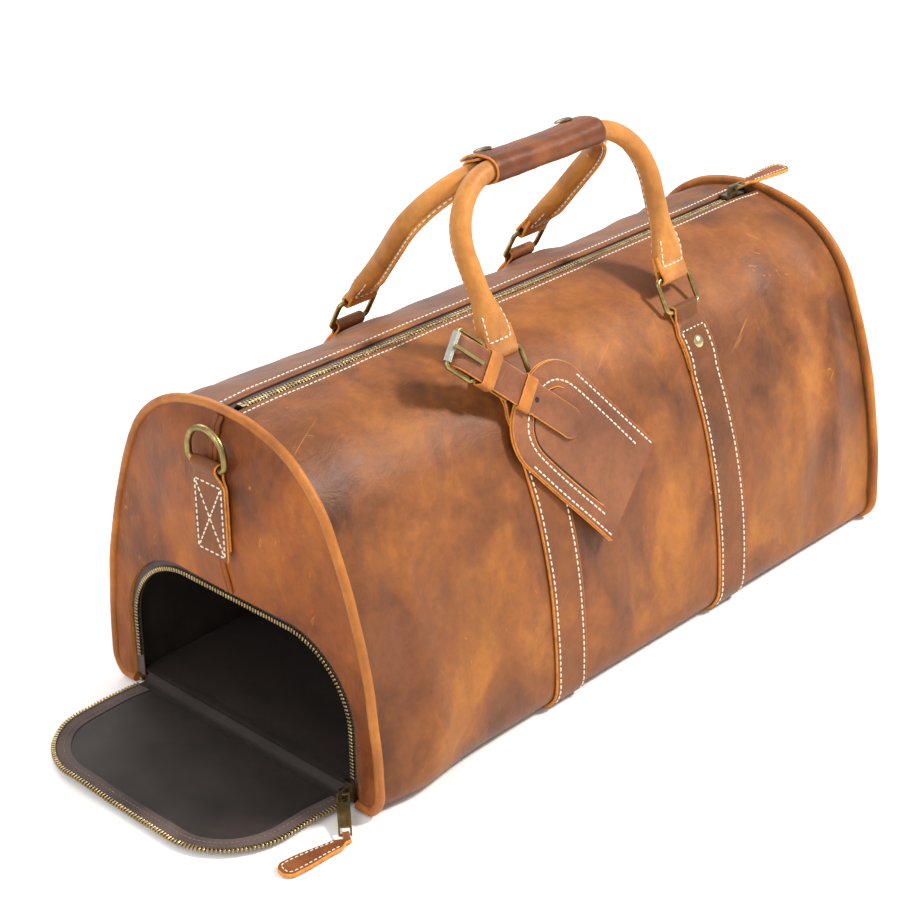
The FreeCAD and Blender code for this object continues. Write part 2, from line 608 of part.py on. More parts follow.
# -------------------------------------------------------- shoe compartment
XF, XB = -HALF + 0.6, -HALF + 3.2
fixed_tape = arch_prism(8.0, -HALF + 3.6, -HALF + 4.4, 6).cut(arch_prism(0.0, -HALF, -HALF + 6, 0))
feature("shoe_tape_fixed", fixed_tape)
fixed_teeth = arch_prism(3.0, XF, XB, 21).cut(arch_prism(0.1, XF - 1, XB + 1, 0))
feature("shoe_teeth_fixed", fixed_teeth)

HX, HZ = -HALF + 1.5, 1.5
FLAT = Placement(V(HX, 0, HZ), Rotation(V(0, 1, 0), -90)).multiply(Placement(V(-HX, 0, -HZ), Rotation()))
ft = arch_prism(-0.1, XF, XB, 6).cut(arch_prism(-3.1, XF - 1, XB + 1, 0))
feature("shoe_flap_teeth", ft, FLAT)
feature("shoe_flap_leather", arch_prism(-8.0, -HALF, -HALF + 2.0, 2.7), FLAT)
feature("shoe_flap_lining", arch_prism(-13.0, -HALF + 2.2, -HALF + 3.2, 2.7), FLAT)
ftape = arch_prism(-3.3, -HALF + 2.2, -HALF + 3.0, 6).cut(arch_prism(-12.8, -HALF, -HALF + 6, 0))
feature("shoe_flap_tape", ftape, FLAT)
TH_ = S("teeth_half")
sst = [box_shape(XF - 0.2, XB + 0.2, s_ * (TH_ + 1.6) - 1.4, s_ * (TH_ + 1.6) + 1.4, 2.9, 5.6) for s_ in (-1, 1)]
feature("shoe_zip_stops", Part.makeCompound(sst))

# Slider on the straight front leg, one plate outside the teeth and one inside, joined by a web.
SY, SZ = -TH_ - 0.1, 12.5
ss = box_shape(XF - 3.0, XF - 0.5, SY - 5, SY + 3.1, SZ - 6.5, SZ + 7.5)
ss = ss.fuse(box_shape(XF - 0.8, XB + 0.3, SY - 1.6, SY + 1.6, SZ - 6.5, SZ - 1))
br = box_shape(XF - 9.7, XF - 2.8, SY - 1.0, SY + 1.0, SZ - 5, SZ + 4).cut(box_shape(XF - 8.8, XF - 3.2, SY - 3, SY + 3, SZ - 3.6, SZ + 2.6))
feature("shoe_slider", ss.fuse(br).removeSplitter())
# Brass pull link: from the bridge outwards and down to the ground.
A = V(XF - 6.85, SY, SZ - 0.6)
B = V(-297.0, -128.0, 3.6)
dirv = (B - A)
LL = dirv.Length
dirv.normalize()
side = V(0, 0, 1).cross(dirv).normalize()
nn = dirv.cross(side)
PROT = Placement(A, Rotation(dirv, side, nn, "XYZ"))
lk = Part.makeBox(LL + 1.5, 8.6, 1.2, V(-0.9, -4.3, -0.6))
lk = lk.cut(Part.makeBox(6.85, 6.2, 6, V(0.15, -3.1, -3))).cut(Part.makeBox(5.4, 6.2, 6, V(LL - 6.0, -3.1, -3)))
print("shoe pull hinge", A, side, "far", A + dirv * LL)
feature("shoe_pull_link", lk, PROT)
E = V(-297.0, -128.0, 0)
d2 = V(-350.5, -121.0, 0) - E
d2.normalize()
slp = new_body("shoe_leather_pull")
sk = new_sketch(slp, "shoe_pull_outline", "XY_Plane", 0.0)
sk_poly(sk, [(-3.2, -1.8), (2.4, -1.8), (8, -5.4), (PL - 8, -PW / 2), (PL - 2.5, -PW / 2 + 1.6), (PL, -3.5),
             (PL, 3.5), (PL - 2.5, PW / 2 - 1.6), (PL - 8, PW / 2), (8, 5.4), (2.4, 1.8), (-3.2, 1.8)])
pad(slp, sk, "shoe_pull_pad", S("pull_thick"), "Sizes.pull_thick")
slp.Placement = Placement(V(-299.5, -131.5, 0.2), Rotation(V(0, 0, 1), math.degrees(math.atan2(d2.y, d2.x))))
keep(slp, "shoe_leather_pull")

# ------------------------------------------------------------ luggage tag
# Everything on the tag is drawn in its own plane: x as the bag, y up the plane, z outwards.
TROT = Placement(V(0, 0, 0), Rotation(V(1, 0, 0), S("tag_lean")))
S0 = S("tag_plane")
TT = S("tag_thick")
ta = math.radians(S("tag_tilt"))
ax, ay_ = math.sin(ta), -math.cos(ta)
cx_, cy_ = math.cos(ta), math.sin(ta)
M = (-17.4, 84.6)
TW, TL, TCN = S("tag_width") / 2, S("tag_long"), S("tag_corner")


def tag_outline(grow, low=0.0):
    def Q(a, c):
        return V(M[0] + ax * a + cx_ * c, M[1] + ay_ * a + cy_ * c, 0)
    w, l, r = TW + grow, TL + grow, TCN + grow
    k = r * (1 - math.sqrt(0.5))
    b = low + grow
    e = [Part.LineSegment(Q(b, -w), Q(b, w)), Part.LineSegment(Q(b, w), Q(-l + r, w)),
         Part.Arc(Q(-l + r, w), Q(-l + k, w - k), Q(-l, w - r)), Part.LineSegment(Q(-l, w - r), Q(-l, -w + r)),
         Part.Arc(Q(-l, -w + r), Q(-l + k, -w + k), Q(-l + r, -w)), Part.LineSegment(Q(-l + r, -w), Q(b, -w))]
    return e


def tag_body(name, z0, grow, low):
    b = new_body(name)
    s_ = new_sketch(b, name + "_outline", "XY_Plane", z0)
    for g_ in tag_outline(grow, low):
        s_.addGeometry(g_, False)
    for i in range(6):
        s_.addConstraint(Sketcher.Constraint("Coincident", i, 2, (i + 1) % 6, 1))
    pad(b, s_, name + "_pad", TT, "Sizes.tag_thick")
    b.Placement = TROT
    return keep(b, name)


tag_body("tag_back", S0, 0.0, 0.0)
tag_body("tag_front", S0 + TT + 0.15, -0.01, 0.01)

pa = math.radians(44.0)
px_, py_ = math.cos(pa), -math.sin(pa)
STRAPROT = TROT.multiply(Placement(V(-105.0, 192.0, 0), Rotation(V(px_, py_, 0), V(-py_, px_, 0), V(0, 0, 1), "XYZ")))
SWD = S("tag_strap_width") / 2
UP0, UP1 = S0 + 4.9, S0 + 6.5      # upper layer of the strap
top_layer = Part.makeBox(73 - SWD + 43, 2 * SWD, UP1 - UP0, V(-43, -SWD, UP0))
top_layer = top_layer.fuse(Part.makeCylinder(SWD, UP1 - UP0, V(73 - SWD, 0, UP0)))
low_layer = Part.makeBox(43 + 20, 2 * SWD, 1.3, V(-43, -SWD, S0))
strp = top_layer.fuse(low_layer).fuse(Part.makeBox(1.6, 2 * SWD, UP1 - S0, V(-43, -SWD, S0)))
strp = strp.cut(Part.makeBox(12, 3.8, 14, V(-34, -1.9, S0 - 1)))
strp = strp.cut(Part.makeCylinder(1.6, 10, V(28, 0, UP0 - 5)))
strp.Placement = STRAPROT
grown = Part.Face(Part.Wire([e_.toShape() for e_ in tag_outline(0.3)])).extrude(V(0, 0, 4.3))
grown.translate(V(0, 0, S0 - 0.3))
grown.Placement = TROT.multiply(grown.Placement)
strp = strp.cut(grown)
# Loop under the strap, round the upright bar of the ring.
band = Part.makeBox(13, 8, 17.3, V(-111, 190.5, S0 - 17.0)).cut(Part.makeBox(9.4, 20, 14.2, V(-109.2, 180, S0 - 15.5)))
band.Placement = TROT
strp = strp.fuse(band).removeSplitter()
feature("tag_strap", strp)


def local_feature(label, shape):
    return feature(label, shape, STRAPROT)


BW, BL, BWR = S("buckle_width") / 2, S("buckle_long"), S("buckle_wire") / 2
ZB = S0 + 3.1
buckle = new_body("tag_buckle_frame")
path = new_sketch(buckle, "buckle_path", "XY_Plane", ZB)
r = 3.0
x0_, x1_ = -50.0, -50.0 + BL
pts = [(x0_ + r, -BW), (x1_ - r, -BW), (x1_, -BW + r), (x1_, BW - r), (x1_ - r, BW), (x0_ + r, BW), (x0_, BW - r), (x0_, -BW + r)]
cen = [(x1_ - r, -BW + r), (x1_ - r, BW - r), (x0_ + r, BW - r), (x0_ + r, -BW + r)]
for i in range(4):
    a, c = pts[2 * i], pts[2 * i + 1]
    path.addGeometry(Part.LineSegment(V(a[0], a[1], 0), V(c[0], c[1], 0)), False)
    e_ = pts[(2 * i + 2) % 8]
    m_ = cen[i]
    mid = V((c[0] + e_[0]) / 2 - m_[0], (c[1] + e_[1]) / 2 - m_[1], 0)
    mid.normalize()
    path.addGeometry(Part.Arc(V(c[0], c[1], 0), V(m_[0], m_[1], 0) + mid * r, V(e_[0], e_[1], 0)), False)
for i in range(8):
    path.addConstraint(Sketcher.Constraint("Coincident", i, 2, (i + 1) % 8, 1))
prof = new_sketch(buckle, "buckle_wire_section", "YZ_Plane", x0_ + r)
sk_circle(prof, -BW, ZB, BWR, "Sizes.buckle_wire / 2")
doc.recompute()
pp = buckle.newObject("PartDesign::AdditivePipe", "buckle_sweep")
pp.Profile = prof
pp.Spine = (path, ["Edge%d" % (k + 1) for k in range(8)])
buckle.Tip = pp
doc.recompute()
buckle.Placement = STRAPROT
keep(buckle, "tag_buckle_frame")

roller = new_body("tag_buckle_roller")
sk = new_sketch(roller, "roller_section", "XZ_Plane", -S("roller_long") / 2)
sk_circle(sk, -50.0, ZB, S("roller_dia") / 2, "Sizes.roller_dia / 2")
sk_circle(sk, -50.0, ZB, S("roller_bore") / 2, "Sizes.roller_bore / 2")
pad(roller, sk, "roller_pad", S("roller_long") - 1.0)
rb = roller.Shape.BoundBox
roller.Placement = STRAPROT.multiply(Placement(V(0, -(rb.YMin + rb.YMax) / 2, 0), Rotation()))
keep(roller, "tag_buckle_roller")

eye = Part.makeCylinder(2.5, 2.6, V(x1_, -1.3, ZB), V(0, 1, 0))
arm = Part.makeBox(BL + 2.2, 2.2, 1.7, V(x0_ - 1.6, -1.1, UP1 + 0.35))
post = Part.makeBox(2.4, 2.2, UP1 + 1.0 - ZB, V(x1_ - 2.4, -1.1, ZB))
prong = eye.fuse(arm).fuse(post).cut(Part.makeCylinder(BWR + 0.25, 20, V(x1_, -10, ZB), V(0, 1, 0)))
local_feature("tag_buckle_prong", prong.removeSplitter())

KL = S("keeper_long")


def keeper(label, p0, z_in0, z_in1, low=1.2):
    """Flat leather loop round the strap; low is the thickness of its wall on the bag's side."""
    o = doc.addObject("Part::Box", label + "_outer")
    o.setExpression("Length", "Sizes.keeper_long")
    o.Width = 2 * (SWD + 1.9)
    o.Height = z_in1 - z_in0 + 1.2 + low
    o.Placement = STRAPROT.multiply(Placement(V(p0, -SWD - 1.9, z_in0 - low), Rotation()))
    i_ = doc.addObject("Part::Box", label + "_inner")
    i_.setExpression("Length", "Sizes.keeper_long + 4")
    i_.Width = 2 * (SWD + 0.5)
    i_.Height = z_in1 - z_in0
    i_.Placement = STRAPROT.multiply(Placement(V(p0 - 2, -SWD - 0.5, z_in0), Rotation()))
    c = doc.addObject("Part::Cut", label)
    c.Base = o
    c.Tool = i_
    doc.recompute()
    return keep(c, label)


keeper("tag_keeper_fixed", -21.0, S0 - 0.4, UP1 + 0.4)
keeper("tag_keeper_sliding", 13.5, UP0 - 0.35, UP1 + 0.4, 0.65)
# The sliding keeper's lower wall is thin where it lies on the tag.

# ---------------------------------------------------------------- checks
doc.recompute()
bad = []
for o in doc.Objects:
    st = [str(q) for q in o.State]
    if "Invalid" in st or "Error" in st:
        bad.append((o.Label, st))
for o in NODES:
    s_ = o.Shape
    if s_.isNull() or not s_.isValid() or s_.Volume <= 0 or not s_.Solids:
        bad.append((o.Label, "shape", s_.isNull(), None if s_.isNull() else (s_.isValid(), s_.Volume)))
if bad:
    raise RuntimeError("failed objects: %s" % bad)
labels = [o.Label for o in NODES]
if len(set(labels)) != len(labels) or len(labels) > 60:
    raise RuntimeError("labels")

os.makedirs("parts", exist_ok=True)
for name in os.listdir("parts"):
    if name.endswith(".step") and name[:-5] not in labels:
        os.remove(os.path.join("parts", name))
for o in NODES:
    o.Shape.exportStep("parts/%s.step" % o.Label)
    bb = o.Shape.BoundBox
    print("%-26s solids %d vol %9.1f  x %.1f..%.1f y %.1f..%.1f z %.1f..%.1f" % (
        o.Label, len(o.Shape.Solids), o.Shape.Volume, bb.XMin, bb.XMax, bb.YMin, bb.YMax, bb.ZMin, bb.ZMax))
print("nodes", len(NODES))
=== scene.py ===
# Leather duffel bag: the looks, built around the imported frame. Geometry below is written in
# millimetres in the row frame and stored in metres.
import bpy
import math
import numpy as np
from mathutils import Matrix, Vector


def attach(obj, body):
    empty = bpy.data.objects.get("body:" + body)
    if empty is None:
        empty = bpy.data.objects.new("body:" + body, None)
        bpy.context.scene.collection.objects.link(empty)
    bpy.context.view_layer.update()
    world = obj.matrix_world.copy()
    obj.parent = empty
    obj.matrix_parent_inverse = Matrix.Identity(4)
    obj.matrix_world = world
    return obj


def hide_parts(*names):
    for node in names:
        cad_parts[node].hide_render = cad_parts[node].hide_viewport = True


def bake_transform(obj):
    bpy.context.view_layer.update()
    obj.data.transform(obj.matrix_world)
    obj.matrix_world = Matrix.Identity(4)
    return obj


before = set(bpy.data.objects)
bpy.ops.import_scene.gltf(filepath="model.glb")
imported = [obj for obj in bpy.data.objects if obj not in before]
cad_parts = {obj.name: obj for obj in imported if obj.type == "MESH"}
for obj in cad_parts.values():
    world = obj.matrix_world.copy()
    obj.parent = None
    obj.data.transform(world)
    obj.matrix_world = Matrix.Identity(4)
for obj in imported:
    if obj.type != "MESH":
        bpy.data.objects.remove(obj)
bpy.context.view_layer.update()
SCN = bpy.context.scene
MM = 0.001

# ------------------------------------------------------------------ camera
cam_data = bpy.data.cameras.new("camera")
cam = bpy.data.objects.new("camera", cam_data)
SCN.collection.objects.link(cam)
cam.location = (-1.0786, -0.9911, 0.8624)
aim = Vector((0, 0, 0.130)) - Vector(cam.location)
cam.rotation_euler = aim.to_track_quat("-Z", "Y").to_euler()
cam_data.lens = 91.37
cam_data.sensor_width = 36.0
cam_data.shift_x = -0.0743
cam_data.shift_y = -0.0178
cam_data.clip_start = 0.05
cam_data.clip_end = 30
SCN.camera = cam
SCN.view_settings.view_transform = "Standard"
SCN.view_settings.look = "None"
SCN.view_settings.exposure = 0.0
SCN.view_settings.gamma = 1.0


# ------------------------------------------------------------- noise helpers
def _hash(ix, iy, iz, seed):
    h = (ix * 374761393 + iy * 668265263 + iz * 2147483647 + seed * 1274126177) & 0xFFFFFFFF
    h = ((h ^ (h >> 13)) * 1103515245) & 0xFFFFFFFF
    h = ((h ^ (h >> 16)) * 2246822519) & 0xFFFFFFFF
    return (h & 0xFFFFFF) / float(0xFFFFFF) * 2 - 1


def vnoise(x, y, z=0.0, seed=1):
    x, y, z = np.broadcast_arrays(np.asarray(x, float), np.asarray(y, float), np.asarray(z, float))
    ix, iy, iz = np.floor(x).astype(np.int64), np.floor(y).astype(np.int64), np.floor(z).astype(np.int64)
    fx, fy, fz = x - ix, y - iy, z - iz
    fx, fy, fz = (t * t * t * (t * (t * 6 - 15) + 10) for t in (fx, fy, fz))
    out = np.zeros(x.shape)
    for dx in (0, 1):
        for dy in (0, 1):
            for dz in (0, 1):
                wgt = (fx if dx else 1 - fx) * (fy if dy else 1 - fy) * (fz if dz else 1 - fz)
                out += wgt * _hash(ix + dx, iy + dy, iz + dz, seed)
    return out


def fbm(x, y, z=0.0, seed=1, octaves=3):
    out, a, f = 0.0, 1.0, 1.0
    for k in range(octaves):
        out = out + a * vnoise(np.asarray(x) * f, np.asarray(y) * f, np.asarray(z) * f, seed + 17 * k)
        a *= 0.5
        f *= 2.03
    return out


def smooth(a, b, t):
    t = np.clip((np.asarray(t, float) - a) / (b - a), 0, 1)
    return t * t * (3 - 2 * t)


# ------------------------------------------------------------ mesh builders
def make(name, verts, faces, mats, mat_index=None, body=None, slot=None, sharp=38.0, blend=None, replaces=()):
    me = bpy.data.meshes.new(name)
    v = np.asarray(verts, float) * MM
    me.from_pydata(v.tolist(), [], faces)
    for m_ in mats:
        me.materials.append(m_)
    if mat_index is not None:
        me.polygons.foreach_set("material_index", np.asarray(mat_index, np.int32))
    me.validate(clean_customdata=False)
    me.update()
    me.shade_smooth()
    if sharp:
        me.set_sharp_from_angle(angle=math.radians(sharp))
    o = bpy.data.objects.new(name, me)
    SCN.collection.objects.link(o)
    if blend:
        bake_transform(o)
    elif body:
        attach(o, body)
    if replaces:
        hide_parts(*replaces)
    return o


class Bag:
    """Collects several closed meshes into one piece."""

    def __init__(self):
        self.v, self.f, self.m, self.n = [], [], [], 0

    def add(self, v, f, m=0):
        v = np.asarray(v, float).reshape(-1, 3)
        n = self.n
        self.v.append(v)
        self.f.extend([tuple(int(i) + n for i in q) for q in f])
        self.m.extend([m] * len(f) if isinstance(m, int) else list(m))
        self.n += len(v)

    def done(self, name, mats, **kw):
        return make(name, np.concatenate(self.v), self.f, mats, self.m, **kw)


def unit(a):
    a = np.asarray(a, float)
    return a / np.maximum(np.linalg.norm(a, axis=-1, keepdims=True), 1e-12)


def resample(P, step):
    P = np.asarray(P, float)
    d = np.linalg.norm(np.diff(P, axis=0), axis=1)
    L = np.concatenate([[0], np.cumsum(d)])
    n = max(2, int(round(L[-1] / step)) + 1)
    t = np.linspace(0, L[-1], n)
    return np.stack([np.interp(t, L, P[:, k]) for k in range(P.shape[1])], 1), t


def smooth_path(pts, step=2.0, closed=False):
    """Catmull-Rom through the points, resampled evenly."""
    P = np.asarray(pts, float)
    if closed:
        P = np.concatenate([P[-1:], P, P[:2]])
    else:
        P = np.concatenate([2 * P[:1] - P[1:2], P, 2 * P[-1:] - P[-2:-1]])
    out = []
    for i in range(1, len(P) - 2):
        p0, p1, p2, p3 = P[i - 1], P[i], P[i + 1], P[i + 2]
        n = max(3, int(np.linalg.norm(p2 - p1) / 0.6))
        for t in np.linspace(0, 1, n, endpoint=False):
            out.append(0.5 * ((2 * p1) + (-p0 + p2) * t + (2 * p0 - 5 * p1 + 4 * p2 - p3) * t * t + (-p0 + 3 * p1 - 3 * p2 + p3) * t ** 3))
    out.append(P[-2])
    return resample(np.array(out), step)[0]


def ring_faces(n_ring, n_st, closed):
    f = []
    last = n_st if closed else n_st - 1
    for i in range(last):
        a, b = i * n_ring, ((i + 1) % n_st) * n_ring
        for k in range(n_ring):
            k2 = (k + 1) % n_ring
            f.append((a + k, a + k2, b + k2, b + k))
    return f


def ribbon(P, N, B, W, th, m=8, closed=False, r=None, disp=None, belly=0.0, rough=0.0, seed=3):
    """Closed flat strip with rounded edges. P centre line, N normals, B side vectors, W half widths, th thickness.
    Returns verts, faces, material indices: 0 the two faces, 1 the raw edges."""
    P, N, B = (np.asarray(a, float) for a in (P, N, B))
    n = len(P)
    W = np.broadcast_to(np.asarray(W, float), (n,)).copy()
    th = np.broadcast_to(np.asarray(th, float), (n,))
    h = th / 2
    prof_b, prof_n, edge = [], [], []
    q = 0.42
    for k in range(m + 1):
        prof_b.append((-1 + 2 * k / m, 0)); prof_n.append(1.0); edge.append(0)
    arc = [(0.62, 0.78), (1.0, 0.35), (1.0, -0.35), (0.62, -0.78)]
    for e, nn in arc:
        prof_b.append((1, e)); prof_n.append(nn); edge.append(1)
    for k in range(m + 1):
        prof_b.append((1 - 2 * k / m, 0)); prof_n.append(-1.0); edge.append(0)
    for e, nn in reversed(arc):
        prof_b.append((-1, -e)); prof_n.append(nn * 1.0); edge.append(1)
    # left side arc goes from the bottom up
    K = len(prof_b)
    for j, (e, nn) in enumerate(arc):
        prof_b[K - 4 + j] = (-1, -e)
        prof_n[K - 4 + j] = -nn
    pb = np.array(prof_b)
    pn = np.array(prof_n)
    rr = np.minimum(h * 0.55, W * 0.45)
    V_ = []
    for i in range(n):
        side = pb[:, 0] * (W[i] - rr[i]) + pb[:, 1] * rr[i]
        if rough:
            jit = vnoise(i * 0.9, np.sign(pb[:, 0]) * 5.0, 0, seed) * rough
            side = side + np.where(np.abs(pb[:, 0]) > 0.99, jit * np.sign(pb[:, 0]), 0)
        up = pn * h[i]
        if belly:
            up = up + belly * (1 - pb[:, 0] ** 2)
        if disp is not None:
            up = up + disp(i / (n - 1.0), pb[:, 0])
        V_.append(P[i] + np.outer(side, B[i]) + np.outer(up, N[i]))
    V_ = np.concatenate(V_)
    F = ring_faces(K, n, closed)
    M = []
    for i in range(n if closed else n - 1):
        for k in range(K):
            k2 = (k + 1) % K
            M.append(1 if (edge[k] or edge[k2]) else 0)
    if not closed:
        F.append(tuple(range(K - 1, -1, -1)))
        F.append(tuple(range((n - 1) * K, n * K)))
        M += [1, 1]
    return V_, F, M


def frames_from(P, B, closed=False):
    """Normals of a path whose side vector is B."""
    P = np.asarray(P, float)
    if closed:
        T = unit(np.roll(P, -1, 0) - np.roll(P, 1, 0))
    else:
        T = unit(np.gradient(P, axis=0))
    B = np.broadcast_to(np.asarray(B, float), P.shape)
    N = unit(np.cross(B, T))
    return T, N, B


def stitch_row(bag, P, N, pitch=4.6, length=3.6, rad=0.56, lift=0.12, dip=0.55, mat=0, start=0.5):
    """Thread stitches along a path on a surface: each one is a short capsule whose ends dip in."""
    P, N = np.asarray(P, float), unit(np.asarray(N, float))
    d = np.linalg.norm(np.diff(P, axis=0), axis=1)
    L = np.concatenate([[0], np.cumsum(d)])
    count = max(1, int(L[-1] / pitch))
    pitch = L[-1] / count
    length = length * pitch / max(pitch, 1e-6) if length < pitch else pitch * 0.74
    us = np.array([-1.0, -0.8, -0.35, 0.35, 0.8, 1.0])
    rs = np.array([0.25, 0.85, 1.0, 1.0, 0.85, 0.25])
    ang = np.linspace(0, 2 * math.pi, 6, endpoint=False)
    for i in range(count):
        c = (i + start) * pitch
        t = np.clip(c + us * length / 2, 0, L[-1])
        C = np.stack([np.interp(t, L, P[:, k]) for k in range(3)], 1)
        n = unit(np.stack([np.interp(t, L, N[:, k]) for k in range(3)], 1))
        T = unit(C[-1] - C[0])
        C = C + n * (lift - dip * us ** 4)[:, None]
        S = unit(np.cross(n, T))
        V_ = (C[:, None, :] + rad * rs[:, None, None] * (np.cos(ang)[None, :, None] * S[:, None, :] + 0.8 * np.sin(ang)[None, :, None] * n[:, None, :])).reshape(-1, 3)
        F = ring_faces(6, 6, False)
        F.append(tuple(range(5, -1, -1)))
        F.append(tuple(range(30, 36)))
        bag.add(V_, F, mat)


def tube(P, rad, seg=12, closed=False, flat=None):
    P = np.asarray(P, float)
    n = len(P)
    T = unit(np.roll(P, -1, 0) - np.roll(P, 1, 0)) if closed else unit(np.gradient(P, axis=0))
    ref = np.array([0, 0, 1.0]) if abs(T[0][2]) < 0.9 else np.array([1.0, 0, 0])
    U = unit(np.cross(T[0], ref))
    rad = np.broadcast_to(np.asarray(rad, float), (n,))
    V_ = []
    for i in range(n):
        U = unit(U - T[i] * np.dot(U, T[i]))
        W_ = np.cross(T[i], U)
        a = np.linspace(0, 2 * math.pi, seg, endpoint=False)
        V_.append(P[i] + rad[i] * (np.outer(np.cos(a), U) + np.outer(np.sin(a), W_)))
    F = ring_faces(seg, n, closed)
    if not closed:
        F.append(tuple(range(seg - 1, -1, -1)))
        F.append(tuple(range((n - 1) * seg, n * seg)))
    return np.concatenate(V_), F


def lathe(profile, centre, axis, seg=28):
    """profile: (radius, height) pairs from the bottom outwards and up to the axis; closed by end fans."""
    axis = unit(axis)
    ref = np.array([1.0, 0, 0]) if abs(axis[0]) < 0.9 else np.array([0, 1.0, 0])
    U = unit(np.cross(axis, ref))
    W_ = np.cross(axis, U)
    a = np.linspace(0, 2 * math.pi, seg, endpoint=False)
    V_ = []
    for r, h in profile:
        V_.append(np.asarray(centre) + axis * h + r * (np.outer(np.cos(a), U) + np.outer(np.sin(a), W_)))
    F = ring_faces(seg, len(profile), False)
    F.append(tuple(range(seg - 1, -1, -1)))
    F.append(tuple(range((len(profile) - 1) * seg, len(profile) * seg)))
    return np.concatenate(V_), F


def rounded_box(c, sx, sy, sz, r, ax=(1, 0, 0), ay=(0, 1, 0)):
    """Box with chamfered edges, 24 corners; ax, ay its axes."""
    ax, ay = unit(ax), unit(ay)
    az = np.cross(ax, ay)
    pts = []
    for z, k in ((-sz / 2, r), (-sz / 2 + r, 0), (sz / 2 - r, 0), (sz / 2, r)):
        hx, hy = sx / 2 - k, sy / 2 - k
        q = r * 0.8
        pts += [(-hx + q, -hy, z), (hx - q, -hy, z), (hx, -hy + q, z), (hx, hy - q, z), (hx - q, hy, z), (-hx + q, hy, z), (-hx, hy - q, z), (-hx, -hy + q, z)]
    P = np.array(pts)
    V_ = np.asarray(c) + np.outer(P[:, 0], ax) + np.outer(P[:, 1], ay) + np.outer(P[:, 2], az)
    F = ring_faces(8, 4, False)
    F.append(tuple(range(7, -1, -1)))
    F.append(tuple(range(24, 32)))
    return V_, F


# -------------------------------------------------------------- materials
def srgb(c):
    return tuple(((x / 255) / 12.92 if x / 255 <= 0.04045 else (((x / 255) + 0.055) / 1.055) ** 2.4) for x in c) + (1.0,)


def lin(c):
    return srgb(c)


def nodes_of(name):
    m = bpy.data.materials.new(name)
    m.use_nodes = True
    nt = m.node_tree
    return m, nt, nt.nodes["Principled BSDF"], nt.nodes, nt.links


def ramp(N, L, src, stops, interp="LINEAR"):
    r = N.new("ShaderNodeValToRGB")
    r.color_ramp.interpolation = interp
    e = r.color_ramp.elements
    while len(e) < len(stops):
        e.new(0.5)
    for el, (p, c) in zip(e, stops):
        el.position = p
        el.color = c
    L.new(src, r.inputs[0])
    return r.outputs[0]


def noise_tex(N, L, vec, scale, detail=4.0, rough=0.55, dist=0.0):
    n = N.new("ShaderNodeTexNoise")
    n.inputs["Scale"].default_value = scale
    n.inputs["Detail"].default_value = detail
    n.inputs["Roughness"].default_value = rough
    n.inputs["Distortion"].default_value = dist
    L.new(vec, n.inputs["Vector"])
    return n


def mapping(N, L, src, loc=(0, 0, 0), rot=(0, 0, 0), scale=(1, 1, 1)):
    mp = N.new("ShaderNodeMapping")
    mp.inputs["Location"].default_value = loc
    mp.inputs["Rotation"].default_value = rot
    mp.inputs["Scale"].default_value = scale
    L.new(src, mp.inputs["Vector"])
    return mp.outputs[0]


def mix(N, L, a, b, fac, mode="MIX"):
    x = N.new("ShaderNodeMix")
    x.data_type = "RGBA"
    x.blend_type = mode
    if isinstance(fac, (int, float)):
        x.inputs[0].default_value = fac
    else:
        L.new(fac, x.inputs[0])
    for sock, v in ((x.inputs[6], a), (x.inputs[7], b)):
        if isinstance(v, tuple):
            sock.default_value = v
        else:
            L.new(v, sock)
    return x.outputs[2]


def math_node(N, L, op, a, b=None, clamp=False):
    x = N.new("ShaderNodeMath")
    x.operation = op
    x.use_clamp = clamp
    for sock, v in ((x.inputs[0], a), (x.inputs[1], b)):
        if v is None:
            continue
        if isinstance(v, (int, float)):
            sock.default_value = v
        else:
            L.new(v, sock)
    return x.outputs[0]


def bump(N, L, bsdf, layers):
    """layers: (height socket, strength, distance) from coarse to fine."""
    prev = None
    for h, s, d in layers:
        b = N.new("ShaderNodeBump")
        b.inputs["Strength"].default_value = s
        b.inputs["Distance"].default_value = d
        L.new(h, b.inputs["Height"])
        if prev is not None:
            L.new(prev, b.inputs["Normal"])
        prev = b.outputs[0]
    L.new(prev, bsdf.inputs["Normal"])


